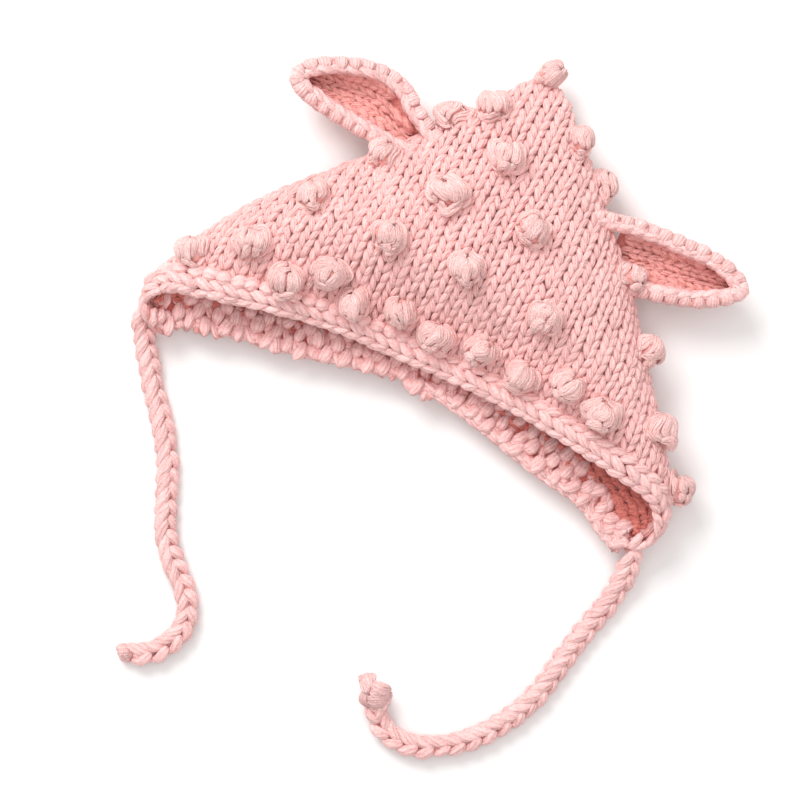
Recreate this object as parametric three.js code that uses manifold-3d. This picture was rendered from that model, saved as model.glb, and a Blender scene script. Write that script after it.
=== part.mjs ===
// A baby's knitted pixie bonnet with two ears, bobbles and tie cords, lying on its back.
// Millimetres, +Z up. X runs across the hat from tie to tie and +Y from the mouth to the peak.
// The origin is under the middle of the hat, without its cords, on the surface that it lies on.

import * as THREE from 'three';
import { mergeVertices } from 'three/addons/utils/BufferGeometryUtils.js';
import Module from 'manifold-3d';

const wasm = await Module();
wasm.setup();

// Driving sizes.
const HALF_WIDTH = 111; // mouth's middle to a tie corner, laid flat
const HAT_HEIGHT = 142; // mouth's middle to the knitted peak
const HAT_DEPTH = 46; // underside to the top of the lying hat, without bobbles
const WALL = 5; // thickness of the knitted cloth
const SLOPE_WALL = 6; // the same wall, measured level across a slanting side
const HOLLOW_END = 0.86; // how far up the height the inside reaches, as a share
const CLEARANCE = 0.3; // gap between pieces that are sewn or knitted together

const FACE_BAND_WIDTH = 10.5; // chain edging round the face
const FACE_BAND_THICKNESS = 8;
const NECK_BAND_WIDTH = 16; // seed stitch border at the neck
const NECK_BAND_THICKNESS = 5.5;
const NECK_BAND_CURL = 3.5; // how far its free edge curls up
const FACE_TUCK = 2.5; // from the face band's middle line to the crown's edge inside it

const BOBBLE_RADIUS = 7.4;
const BOBBLE_PITCH = 36; // between neighbours in a row
const BOBBLE_LIFT = 2.6; // its middle above the cloth
const BOBBLE_SEAT = 0.4; // its flat foot above the cloth
const PEAK_FOOT = -6.4; // the peak's bobble reaches down round the tip
const BACK_BOBBLE_RADIUS = 8.2; // pressed flat under the hat
const BACK_BOBBLE_FOOT = 5.4; // radius of the flat that it rests on

const EAR_LENGTH = 51;
const EAR_WIDTH = 28;
const EAR_DEPTH = 10; // hollow of the cupped ear
const EAR_WALL = 4;
const EAR_RIM_RADIUS = 3.6;
const EAR_RIM_HEIGHT = 20; // rim's middle above the surface
const EAR_ROOT = -0.1; // where the cupped cloth starts, as a share of the ear's length
const EAR_CLOSING = 0.55; // from here to the tip the cup gets shallower
const EAR_ROUND = 2.4; // higher is a flatter cup with steeper sides

const CORD_DIAMETER = 8;
const KNOT_RADIUS = 7.2;

// Fineness of the facets.
const AROUND = 44;
const OUTER_ROWS = 16;
const INNER_ROWS = 10;
const BAND_SIDES = 8;
const BOBBLE_SIDES = 8;
const BOBBLE_ROWS_UP = 4;
const RIM_STEPS = 24;
const EAR_LENGTHWISE = 11;
const EAR_CROSSWISE = 8;
const FACE_STEPS = 44;
const NECK_STEPS = 32;
const CORD_SIDES = 10;
const CORD_STEP = 1.5 * CORD_DIAMETER;

const BOBBLE_PINK = 0xf7c3c0;
const CLOTH_PINK = 0xf3b9b6;
const EDGE_PINK = 0xf8c8c5;

// A short table: its columns' names, then a row of numbers for each section.
function table(names, rows) {
  const columns = names.split(' ');
  return rows.map((row) => Object.fromEntries(columns.map((name, i) => [name, row[i]])));
}

// The hat's outline and lying thickness. up is a share of the height, left and right of the half
// width; bottom, fold and top are shares of the depth: underside, line of the side fold, top.
const OUTLINE = table('up left right bottom fold top', [
  [-0.16, 0.88, 0.925, 0.13, 0.31, 0.74],
  [-0.062, 1.01, 0.98, 0.13, 0.35, 0.84],
  [0.0, 1.05, 0.985, 0.13, 0.37, 0.93],
  [0.085, 1.045, 0.955, 0.13, 0.37, 0.98],
  [0.158, 1.0, 0.89, 0.13, 0.37, 1.0],
  [0.285, 0.905, 0.785, 0.13, 0.36, 0.99],
  [0.42, 0.765, 0.67, 0.13, 0.35, 0.93],
  [0.577, 0.555, 0.53, 0.13, 0.34, 0.83],
  [0.704, 0.38, 0.4, 0.13, 0.33, 0.71],
  [0.84, 0.21, 0.255, 0.14, 0.32, 0.58],
  [0.924, 0.11, 0.155, 0.16, 0.31, 0.48],
  [0.972, 0.07, 0.105, 0.19, 0.3, 0.41],
  [1.0, 0.03, 0.05, 0.25, 0.3, 0.35],
]);

// The mouth, once round: angle 0 is the right fold, 90 the middle of the face edge, 180 the left
// fold and 270 the middle of the neck edge. up is where the band's middle line lies, as a share
// of the height, and height is the cloth's outside there, as a share of the depth.
const MOUTH = table('angle up height', [
  [-30, -0.075, 0.13],
  [-20, -0.105, 0.16],
  [-10, -0.085, 0.26],
  [0, -0.03, 0.37],
  [10, 0.022, 0.47],
  [19, 0.054, 0.58],
  [30, 0.077, 0.66],
  [42, 0.102, 0.69],
  [54, 0.127, 0.66],
  [68, 0.151, 0.57],
  [82, 0.164, 0.48],
  [96, 0.17, 0.46],
  [112, 0.176, 0.52],
  [126, 0.164, 0.6],
  [140, 0.142, 0.6],
  [153, 0.124, 0.54],
  [165, 0.108, 0.46],
  [173, 0.082, 0.4],
  [180, 0.048, 0.37],
  [187, 0.015, 0.32],
  [196, 0.0, 0.22],
  [210, 0.038, 0.15],
  [226, 0.066, 0.13],
  [243, 0.088, 0.13],
  [258, 0.12, 0.13],
  [268, 0.13, 0.13],
  [281, 0.104, 0.13],
  [300, 0.032, 0.13],
  [316, -0.01, 0.13],
  [330, -0.075, 0.13],
  [340, -0.105, 0.16],
]);
const FACE_FROM = -15; // the face band's two ends, as angles of the mouth
const FACE_TO = 189;
const NECK_FROM = 196;
const NECK_TO = 338;
const MOUTH_EASE = 0.3; // how far up the cloth the mouth's own dents reach
const TOP_ROUND = 2.4; // higher is a flatter top with tighter sides
const UNDER_ROUND = 6;
const BAND_ROUND = 0.8; // 1 is an oval section, and less is a squarer one

// Bobbles on the front, a row to each line: up is a share of the height, and each bobble of the
// row has a nudge [across, up] from its even place, in shares of the bobble pitch.
const BOBBLE_ROWS = [
  { up: 0.875, nudges: [[0.05, 0.0], [0.13, 0.0]] },
  { up: 0.78, nudges: [[0.17, 0.1], [-0.08, -0.09], [0.14, 0.02]] },
  { up: 0.606, nudges: [[0.1, 0.1], [-0.03, 0.0], [-0.02, -0.04], [0.19, -0.13]] },
  { up: 0.437, nudges: [[0.07, 0.08], [0.02, 0.01], [-0.04, -0.01], [-0.02, -0.18], [0.17, -0.14]] },
  {
    up: 0.268,
    nudges: [[0.12, 0.07], [0.05, 0.1], [-0.06, 0.0], [-0.02, -0.07], [0.02, -0.12], [0.12, -0.22]],
  },
  {
    up: 0.222,
    nudges: [[0.04, -0.1], [0.11, 0.02], [-0.08, 0.04], [-0.07, 0.06], [0.0, 0.0], [-0.01, -0.09], [0.12, -0.57]],
  },
];

// Bobbles on the back, which the hat lies on.
const BACK_ROWS = table('up count', [
  [0.7, 1],
  [0.55, 2],
  [0.4, 3],
  [0.255, 4],
]);

// The ears, a section to each row from the slope to the tip: along is a share of the ear's
// length, low and high of its width, from the middle of its root.
const LEFT_EAR = table('along low high rise', [
  [-0.22, -0.26, 0.24, 0.25],
  [0.04, -0.29, 0.52, 0.12],
  [0.2, -0.25, 0.77, 0.02],
  [0.41, -0.2, 0.87, 0.0],
  [0.62, -0.15, 0.82, 0.0],
  [0.81, -0.06, 0.7, 0.05],
  [0.94, 0.02, 0.56, 0.1],
  [1.0, 0.1, 0.44, 0.14],
]);
const RIGHT_EAR = table('along low high rise', [
  [-0.28, -0.46, 0.5, 0.25],
  [0.04, -0.5, 0.6, 0.12],
  [0.25, -0.45, 0.61, 0.02],
  [0.47, -0.39, 0.6, 0.0],
  [0.66, -0.31, 0.59, 0.0],
  [0.84, -0.18, 0.52, 0.05],
  [0.95, -0.06, 0.43, 0.1],
  [1.0, 0.03, 0.37, 0.14],
]);
const LEFT_EAR_ROOT = { across: -0.4, up: 0.713 };
const RIGHT_EAR_ROOT = { across: 0.5, up: 0.628 };

// The cords' routes, from the mouth's corners along the surface, each point chosen by hand.
const LEFT_ROUTE = [
  [-117.0, 2.6, 11.5], [-114.9, -4.8, 9.0], [-110.3, -13.7, 6.2], [-103.4, -25.2, 4.6], [-97.0, -34.6, 4.3],
  [-91.0, -43.6, 4.3], [-85.6, -52.8, 4.3], [-81.9, -62.3, 4.3], [-78.6, -71.8, 4.3], [-74.0, -82.4, 4.3],
  [-67.6, -91.0, 4.3], [-60.0, -98.4, 4.3], [-55.0, -106.4, 4.3], [-54.6, -115.8, 4.3], [-58.8, -124.0, 4.3],
  [-64.0, -128.6, 4.3], [-68.6, -130.6, 4.3],
];
const RIGHT_ROUTE = [
  [101.6, -16.5, 11.6], [102.6, -25.0, 8.6], [102.2, -33.6, 6.0], [100.3, -42.6, 4.6], [97.2, -52.0, 4.3],
  [94.0, -62.4, 4.3], [91.5, -72.6, 4.3], [89.0, -82.6, 4.3], [84.9, -92.4, 4.3], [79.5, -101.2, 4.3],
  [73.2, -109.2, 4.3], [65.4, -116.0, 4.3], [56.6, -120.8, 4.3], [47.8, -123.4, 4.3], [39.6, -122.8, 4.3],
  [33.2, -118.8, 5.2], [29.6, -113.4, 7.3],
];

// The cords' ends, a small cast-off nub and a knot with a tail, as radius and distance along.
const NUB = table('radius along', [
  [0, 0],
  [3.4, 0],
  [3.9, 2],
  [2.9, 4.6],
  [0, 5.6],
]);
const KNOT = table('radius along', [
  [0, 0],
  [4.4, 0],
  [KNOT_RADIUS, 3.4],
  [KNOT_RADIUS, 7.4],
  [4.8, 11.6],
  [2.4, 14.6],
  [0, 15.2],
]);

// A smooth reading of one column at a place between the rows, by a cubic through them.
function read(rows, key, at, column) {
  const last = rows.length - 1;
  const found = rows.findIndex((row) => row[key] > at);
  const i = THREE.MathUtils.clamp(found < 0 ? last - 1 : found - 1, 0, last - 1);
  const slope = (k) => {
    const a = rows[Math.max(k - 1, 0)];
    const b = rows[Math.min(k + 1, last)];
    return (b[column] - a[column]) / (b[key] - a[key]);
  };
  const span = rows[i + 1][key] - rows[i][key];
  const t = THREE.MathUtils.clamp((at - rows[i][key]) / span, 0, 1);
  return (
    (2 * t ** 3 - 3 * t ** 2 + 1) * rows[i][column] +
    (t ** 3 - 2 * t ** 2 + t) * span * slope(i) +
    (3 * t ** 2 - 2 * t ** 3) * rows[i + 1][column] +
    (t ** 3 - t ** 2) * span * slope(i + 1)
  );
}

const radians = THREE.MathUtils.degToRad;
const outline = (y, column) => read(OUTLINE, 'up', y / HAT_HEIGHT, column);
const mouth = (angle, column) => read(MOUTH, 'angle', ((angle + 380) % 360) - 20, column);
const mouthLine = (angle) => mouth(angle, 'up') * HAT_HEIGHT;

// A point of the cloth's outside at an angle round the hat and a place y up it. grow moves it
// outwards, and a negative one inwards.
function cloth(angle, y, grow = 0) {
  const across = Math.cos(radians(angle));
  const under = Math.sin(radians(angle)) < 0;
  const half = outline(y, across < 0 ? 'left' : 'right') * HALF_WIDTH + (grow * SLOPE_WALL) / WALL;
  const fold = outline(y, 'fold') * HAT_DEPTH;
  const size = Math.abs(across);
  const ease = THREE.MathUtils.smoothstep((y - mouthLine(angle)) / HAT_HEIGHT, 0, MOUTH_EASE);
  const edge = mouth(angle, 'height') * HAT_DEPTH - fold;
  let z;
  if (under) {
    const round = Math.sqrt(Math.max(0, 1 - size ** UNDER_ROUND));
    const full = (outline(y, 'bottom') * HAT_DEPTH - fold) * round;
    z = fold + THREE.MathUtils.lerp(edge, full, ease) - grow * round;
  } else {
    const round = Math.sqrt(Math.max(0, 1 - size ** TOP_ROUND));
    const full = (outline(y, 'top') * HAT_DEPTH - fold) * round;
    z = fold + THREE.MathUtils.lerp(edge, full, ease) + grow * round;
  }
  return new THREE.Vector3(across * Math.max(half, 0.5), y, z);
}

// The cloth's outward direction at an angle and a place.
function outward(angle, y) {
  const d = 0.5;
  const round = cloth(angle + d, y).sub(cloth(angle - d, y));
  const up = cloth(angle, y + d).sub(cloth(angle, y - d));
  return up.cross(round).normalize();
}

// A closed body of four-sided rows: rings of points, open rings closed by a point at one end.
class Skin {
  constructor() {
    this.points = [];
    this.faces = [];
  }

  add(point) {
    this.points.push(point.x, point.y, point.z);
    return this.points.length / 3 - 1;
  }

  ring(points) {
    return points.map((point) => this.add(point));
  }

  join(a, b) {
    a.forEach((_, i) => {
      const j = (i + 1) % a.length;
      this.faces.push(a[i], b[j], a[j], a[i], b[i], b[j]);
    });
  }

  close(ring, point) {
    const tip = this.add(point);
    ring.forEach((_, i) => this.faces.push(ring[(i + 1) % ring.length], ring[i], tip));
  }

  geometry() {
    const made = new THREE.BufferGeometry();
    made.setAttribute('position', new THREE.Float32BufferAttribute(this.points, 3));
    made.setIndex(this.faces);
    return made;
  }
}

// Any closed geometry as a solid that can be cut.
function solid(geometry) {
  const bare = geometry.clone();
  bare.deleteAttribute('normal');
  bare.deleteAttribute('uv');
  const merged = mergeVertices(bare, 1e-4);
  const made = new wasm.Manifold(
    new wasm.Mesh({
      numProp: 3,
      vertProperties: new Float32Array(merged.attributes.position.array),
      triVerts: new Uint32Array(merged.index.array),
    }),
  );
  return made;
}

// The geometry of a cut solid's main body, without the crumbs that a cut may leave.
function geometryOf(body) {
  const main = body.decompose().reduce((a, b) => (b.volume() > a.volume() ? b : a));
  const mesh = main.getMesh();
  const made = new THREE.BufferGeometry();
  made.setAttribute('position', new THREE.Float32BufferAttribute(mesh.vertProperties, 3));
  made.setIndex(Array.from(mesh.triVerts));
  return made;
}

// From the mouth's middle line to the crown's edge: inside the face band, or clear of the
// neck band.
function tuck(angle) {
  const under = THREE.MathUtils.smoothstep(-Math.sin(radians(angle)), 0.15, 0.4);
  return THREE.MathUtils.lerp(FACE_TUCK, NECK_BAND_WIDTH / 2 + CLEARANCE, under);
}

// The crown's wall, hollow and open at the mouth. grow fattens it on every side, and filled
// leaves the hollow out: both are for cutting what is joined to the crown.
function crownGeometry(grow = 0, filled = false) {
  const skin = new Skin();
  const angles = Array.from({ length: AROUND }, (_, i) => (360 * i) / AROUND);
  const start = (angle) => mouthLine(angle) + tuck(angle) - grow;
  const rings = (rows, end, offset) =>
    Array.from({ length: rows }, (_, j) => {
      const share = j / rows;
      return skin.ring(
        angles.map((angle) => cloth(angle, THREE.MathUtils.lerp(start(angle), end, share), offset)),
      );
    });
  const middle = (y, offset) =>
    new THREE.Vector3(0, y, (cloth(90, y, offset).z + cloth(270, y, offset).z) / 2);
  const outer = rings(OUTER_ROWS, HAT_HEIGHT, grow);
  outer.slice(1).forEach((ring, j) => skin.join(outer[j], ring));
  skin.close(outer.at(-1), middle(HAT_HEIGHT, grow));
  if (filled) {
    skin.close([...outer[0]].reverse(), middle(start(90), 0));
    return skin.geometry();
  }
  const hollowEnd = HAT_HEIGHT * HOLLOW_END;
  const inner = rings(INNER_ROWS, hollowEnd, -WALL - grow);
  inner.slice(1).forEach((ring, j) => skin.join(ring, inner[j]));
  skin.join(inner[0], outer[0]);
  skin.close([...inner.at(-1)].reverse(), middle(hollowEnd, -WALL));
  return skin.geometry();
}

// A band along the mouth from one angle to another: its section is width wide along the cloth,
// thickness through it, and its free edge curls outwards by curl.
function bandGeometry(from, to, width, thickness, curl, steps, grow = 0) {
  const skin = new Skin();
  const place = (angle) => cloth(angle, mouthLine(angle), -WALL / 2);
  const rings = Array.from({ length: steps + 1 }, (_, i) => {
    const angle = THREE.MathUtils.lerp(from, to, i / steps);
    const along = place(angle + 1).sub(place(angle - 1)).normalize();
    const normal = outward(angle, mouthLine(angle));
    const out = normal.addScaledVector(along, -normal.dot(along)).normalize();
    const free = out.clone().cross(along).normalize();
    const end = i === 0 ? -grow : i === steps ? grow : 0;
    const middle = place(angle).addScaledVector(along, end);
    return Array.from({ length: BAND_SIDES }, (_, k) => {
      const turn = (2 * Math.PI * (k + 0.5)) / BAND_SIDES;
      const sideways = Math.sign(Math.cos(turn)) * Math.abs(Math.cos(turn)) ** BAND_ROUND;
      const lift = Math.sin(turn) * (thickness / 2 + grow) + curl * Math.max(0, sideways) ** 2;
      return middle
        .clone()
        .addScaledVector(free, sideways * (width / 2 + grow))
        .addScaledVector(out, lift);
    });
  }).map((points) => skin.ring(points));
  rings.slice(1).forEach((ring, j) => skin.join(ring, rings[j]));
  const centre = (ring) =>
    ring
      .reduce((sum, k) => sum.add(new THREE.Vector3().fromArray(skin.points, 3 * k)), new THREE.Vector3())
      .divideScalar(ring.length);
  skin.close(rings[0], centre(rings[0]));
  const last = rings.at(-1);
  skin.close([...last].reverse(), centre(last));
  return skin.geometry();
}

// A plump knitted ball about +Y, its middle at the origin and a flat foot below.
function bobbleGeometry(foot = BOBBLE_SEAT - BOBBLE_LIFT) {
  const from = Math.asin(foot / BOBBLE_RADIUS);
  const rim = Array.from({ length: BOBBLE_ROWS_UP }, (_, i) => {
    const turn = THREE.MathUtils.lerp(from, Math.PI / 2, i / BOBBLE_ROWS_UP);
    return new THREE.Vector2(BOBBLE_RADIUS * Math.cos(turn), BOBBLE_RADIUS * Math.sin(turn));
  });
  const profile = [new THREE.Vector2(0, foot), ...rim, new THREE.Vector2(0, BOBBLE_RADIUS)];
  return new THREE.LatheGeometry(profile, BOBBLE_SIDES);
}

// A bobble under the hat: a flat foot on the surface, and a top that reaches into the cloth.
function backBobbleGeometry(reach) {
  const profile = [
    [0, 0],
    [BACK_BOBBLE_FOOT, 0],
    [BACK_BOBBLE_RADIUS, 0.45 * reach],
    [0.8 * BACK_BOBBLE_RADIUS, reach],
    [0, reach],
  ];
  return new THREE.LatheGeometry(
    profile.map(([x, y]) => new THREE.Vector2(x, y)),
    BOBBLE_SIDES,
  );
}

// The middle line of an ear's rim, from its low root round the tip to its high root, and the
// place of a section's edges. side is -1 for the left ear and 1 for the right.
function earPlan(rows, root, side) {
  const x0 = root.across * HALF_WIDTH;
  const y0 = root.up * HAT_HEIGHT;
  const edge = (along, column, inset) => {
    const y = y0 + read(rows, 'along', along, column) * EAR_WIDTH;
    const z = EAR_RIM_HEIGHT + read(rows, 'along', along, 'rise') * EAR_DEPTH;
    return new THREE.Vector3(x0 + side * along * EAR_LENGTH, y + (column === 'low' ? inset : -inset), z);
  };
  const places = rows.map((row) => row.along);
  const rim = [
    ...places.map((along) => edge(along, 'low', EAR_RIM_RADIUS)),
    ...places.reverse().map((along) => edge(along, 'high', EAR_RIM_RADIUS)),
  ];
  rim.forEach((point) => {
    point.x -= side * EAR_RIM_RADIUS;
  });
  return { edge, rim };
}

// The cupped cloth of an ear, which stops inside its rim.
function earGeometry({ edge }, side, grow) {
  const to = 1 - (1.3 * EAR_RIM_RADIUS) / EAR_LENGTH;
  const skin = new Skin();
  const rings = Array.from({ length: EAR_LENGTHWISE + 1 }, (_, i) => {
    const along = THREE.MathUtils.lerp(EAR_ROOT, to, i / EAR_LENGTHWISE);
    const low = edge(along, 'low', EAR_RIM_RADIUS);
    const high = edge(along, 'high', EAR_RIM_RADIUS);
    const towardsTip = Math.max(0, (along - EAR_CLOSING) / (1 - EAR_CLOSING));
    const closing = Math.sqrt(Math.max(0.05, 1 - towardsTip ** 2));
    const across = (offset) =>
      Array.from({ length: EAR_CROSSWISE + 1 }, (_, k) => {
        const v = (2 * k) / EAR_CROSSWISE - 1;
        const point = low.clone().lerp(high, k / EAR_CROSSWISE);
        point.z += offset - EAR_DEPTH * closing * (1 - Math.abs(v) ** EAR_ROUND);
        return point;
      });
    return [...across(EAR_WALL / 2 + grow), ...across(-EAR_WALL / 2 - grow).reverse()];
  }).map((points) => skin.ring(side > 0 ? [...points].reverse() : points));
  rings.slice(1).forEach((ring, j) => skin.join(ring, rings[j]));
  const cap = (ring) => {
    const half = ring.length / 2;
    for (let k = 0; k < half - 1; k += 1) {
      const [a, b, c, d] = [ring[k], ring[k + 1], ring[2 * half - 2 - k], ring[2 * half - 1 - k]];
      skin.faces.push(a, c, b, a, d, c);
    }
  };
  cap(rings[0]);
  cap([...rings.at(-1)].reverse());
  return skin.geometry();
}

// A round tube along points, with flat ends.
function tubeGeometry(points, radius, sides, steps) {
  const section = new THREE.Shape(
    Array.from({ length: sides }, (_, k) => {
      const turn = (2 * Math.PI * k) / sides;
      return new THREE.Vector2(radius * Math.cos(turn), radius * Math.sin(turn));
    }),
  );
  return new THREE.ExtrudeGeometry(section, { steps, extrudePath: new THREE.CatmullRomCurve3(points) });
}

const hat = new THREE.Group();
const cords = new THREE.Group();

function piece(group, name, geometry, colour, roughness = 0.9) {
  const material = new THREE.MeshStandardMaterial({ color: colour, roughness, metalness: 0 });
  const mesh = new THREE.Mesh(geometry, material);
  mesh.name = name;
  group.add(mesh);
  return mesh;
}

const crownCut = solid(crownGeometry(CLEARANCE));
const crownBlock = solid(crownGeometry(CLEARANCE, true));
const faceBand = (grow) =>
  bandGeometry(FACE_FROM, FACE_TO, FACE_BAND_WIDTH, FACE_BAND_THICKNESS, 0, FACE_STEPS, grow);
const faceCut = solid(faceBand(CLEARANCE));

function addCrownAndBands() {
  piece(hat, 'crown', crownGeometry(), CLOTH_PINK);
  piece(hat, 'face_band', geometryOf(solid(faceBand(0)).subtract(crownCut)), EDGE_PINK);
  const neck = bandGeometry(
    NECK_FROM, NECK_TO, NECK_BAND_WIDTH, NECK_BAND_THICKNESS, -NECK_BAND_CURL, NECK_STEPS,
  );
  piece(hat, 'neck_band', geometryOf(solid(neck).subtract(crownCut).subtract(faceCut)), EDGE_PINK);
}

// The knitted peak's own ball, on the tip.
function addPeakBobble() {
  const shape = bobbleGeometry(PEAK_FOOT);
  shape.translate(0, HAT_HEIGHT + BOBBLE_LIFT, cloth(90, HAT_HEIGHT).z);
  piece(hat, 'bobble_peak', geometryOf(solid(shape).subtract(crownCut)), BOBBLE_PINK);
}

function addFrontBobbles(ears) {
  const upright = new THREE.Vector3(0, 1, 0);
  BOBBLE_ROWS.forEach((row, r) => {
    row.nudges.forEach(([across, up], i) => {
      const x = (i - (row.nudges.length - 1) / 2 + across) * BOBBLE_PITCH;
      const y = row.up * HAT_HEIGHT + up * BOBBLE_PITCH;
      const half = outline(y, x < 0 ? 'left' : 'right') * HALF_WIDTH + BOBBLE_LIFT;
      const angle = THREE.MathUtils.radToDeg(Math.acos(THREE.MathUtils.clamp(x / half, -1, 1)));
      const out = outward(angle, y);
      const shape = bobbleGeometry();
      shape.applyQuaternion(new THREE.Quaternion().setFromUnitVectors(upright, out));
      const middle = cloth(angle, y).addScaledVector(out, BOBBLE_LIFT);
      shape.translate(middle.x, middle.y, middle.z);
      const cut = solid(shape).subtract(crownCut).subtract(faceCut).subtract(ears);
      piece(hat, `bobble_${r + 1}_${i + 1}`, geometryOf(cut), BOBBLE_PINK);
    });
  });
}

function addBackBobbles() {
  BACK_ROWS.forEach((row, r) => {
    for (let i = 0; i < row.count; i += 1) {
      const x = (i - (row.count - 1) / 2) * BOBBLE_PITCH;
      const y = row.up * HAT_HEIGHT;
      const half = outline(y, x < 0 ? 'left' : 'right') * HALF_WIDTH;
      const angle = 360 - THREE.MathUtils.radToDeg(Math.acos(x / half));
      const shape = backBobbleGeometry(cloth(angle, y).z + WALL / 2);
      shape.rotateX(Math.PI / 2);
      shape.translate(x, y, 0);
      piece(hat, `back_bobble_${r + 1}_${i + 1}`, geometryOf(solid(shape).subtract(crownCut)), BOBBLE_PINK);
    }
  });
}

// Adds an ear's cloth and rim, and gives the solid that cuts what lies against them.
function addEar(name, rows, root, side) {
  const plan = earPlan(rows, root, side);
  const rim = (grow) => solid(tubeGeometry(plan.rim, EAR_RIM_RADIUS + grow, BAND_SIDES, RIM_STEPS));
  const cup = (grow) => solid(earGeometry(plan, side, grow));
  const cut = rim(CLEARANCE);
  piece(hat, `ear_${name}`, geometryOf(cup(0).subtract(crownBlock).subtract(cut)), CLOTH_PINK);
  piece(hat, `ear_rim_${name}`, geometryOf(rim(0).subtract(crownBlock)), EDGE_PINK);
  return cut.add(cup(CLEARANCE));
}

function addCord(name, route, end) {
  const points = route.map(([x, y, z]) => new THREE.Vector3(x, y, z));
  const path = new THREE.CatmullRomCurve3(points);
  const steps = Math.round(path.getLength() / CORD_STEP);
  const cord = tubeGeometry(points, CORD_DIAMETER / 2, CORD_SIDES, steps);
  piece(cords, name, geometryOf(solid(cord).subtract(faceCut)), EDGE_PINK);
  const shape = new THREE.LatheGeometry(
    end.map(({ radius, along }) => new THREE.Vector2(radius, along)),
    BOBBLE_SIDES,
  );
  const direction = path.getTangent(1);
  shape.applyQuaternion(new THREE.Quaternion().setFromUnitVectors(new THREE.Vector3(0, 1, 0), direction));
  const seat = path.getPoint(1).addScaledVector(direction, CLEARANCE);
  shape.translate(seat.x, seat.y, seat.z);
  piece(cords, `${name}_end`, shape, EDGE_PINK);
}

addCrownAndBands();
addPeakBobble();
const leftEar = addEar('left', LEFT_EAR, LEFT_EAR_ROOT, -1);
const rightEar = addEar('right', RIGHT_EAR, RIGHT_EAR_ROOT, 1);
addFrontBobbles(leftEar.add(rightEar));
addBackBobbles();

addCord('tie_left', LEFT_ROUTE, NUB);
addCord('tie_right', RIGHT_ROUTE, KNOT);

// The hat's middle, without its cords, goes over the origin.
const part = new THREE.Group();
part.add(hat, cords);
const box = new THREE.Box3().setFromObject(hat);
part.position.set(-(box.min.x + box.max.x) / 2, -(box.min.y + box.max.y) / 2, 0);
part.updateMatrixWorld(true);

export default part;
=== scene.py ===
"""The look of a baby's knitted pixie bonnet that lies on its back.

The bonnet has two cupped ears, bobbles all over, a thick edging round the face, a seed stitch
border at the neck and two knitted ties. Its cloth is made of real stitches: short lengths of
yarn that are laid over the same form as the solids. Lengths are in millimetres until a mesh is
made, which is in metres, in the frame of the solids.
"""

import logging
import math
from dataclasses import dataclass, field
from enum import Enum
from typing import Callable, Iterable, Protocol

import bpy
import numpy as np
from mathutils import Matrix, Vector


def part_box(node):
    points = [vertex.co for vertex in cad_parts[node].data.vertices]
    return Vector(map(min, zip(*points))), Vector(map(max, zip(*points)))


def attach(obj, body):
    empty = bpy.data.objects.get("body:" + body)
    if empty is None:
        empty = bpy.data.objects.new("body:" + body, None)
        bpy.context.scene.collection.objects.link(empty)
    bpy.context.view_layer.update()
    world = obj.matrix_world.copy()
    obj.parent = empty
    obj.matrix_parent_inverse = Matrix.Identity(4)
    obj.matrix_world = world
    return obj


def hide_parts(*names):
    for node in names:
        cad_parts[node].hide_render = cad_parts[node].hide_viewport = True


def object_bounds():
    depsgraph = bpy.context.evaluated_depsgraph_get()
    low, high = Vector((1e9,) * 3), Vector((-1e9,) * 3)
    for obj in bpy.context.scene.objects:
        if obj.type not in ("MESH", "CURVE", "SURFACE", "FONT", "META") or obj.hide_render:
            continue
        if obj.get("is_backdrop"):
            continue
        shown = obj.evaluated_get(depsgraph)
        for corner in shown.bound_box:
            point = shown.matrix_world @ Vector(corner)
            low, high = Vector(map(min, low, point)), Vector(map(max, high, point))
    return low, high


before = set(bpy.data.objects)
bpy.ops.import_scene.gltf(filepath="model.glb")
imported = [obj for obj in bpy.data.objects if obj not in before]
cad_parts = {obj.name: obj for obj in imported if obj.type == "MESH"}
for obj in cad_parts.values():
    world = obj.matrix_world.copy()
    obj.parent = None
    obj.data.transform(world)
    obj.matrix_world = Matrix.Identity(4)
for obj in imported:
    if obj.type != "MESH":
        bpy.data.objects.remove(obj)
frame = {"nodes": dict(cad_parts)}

logging.basicConfig(level=logging.INFO, format="%(message)s")
log = logging.getLogger("bonnet")

MM = 0.001
SEED = 11
UP = np.array([0.0, 0.0, 1.0])


# Numbers and small helpers


def linear(hex_colour: str) -> tuple[float, float, float, float]:
    """Turns an sRGB colour into the linear one that a shader takes.

    Args:
        hex_colour: six hex digits after a hash, such as "#f7c3c0".

    Returns:
        Red, green, blue and alpha.
    """
    parts = [int(hex_colour[i : i + 2], 16) / 255 for i in (1, 3, 5)]
    red, green, blue = (p / 12.92 if p <= 0.04045 else ((p + 0.055) / 1.055) ** 2.4 for p in parts)
    return (red, green, blue, 1.0)


def smooth(t: np.ndarray) -> np.ndarray:
    """Eases from 0 to 1, flat at both ends."""
    t = np.clip(t, 0, 1)
    return t * t * (3 - 2 * t)


def unit(v: np.ndarray) -> np.ndarray:
    """Vectors of length one, along the last axis."""
    return v / np.maximum(np.linalg.norm(v, axis=-1, keepdims=True), 1e-9)


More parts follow.
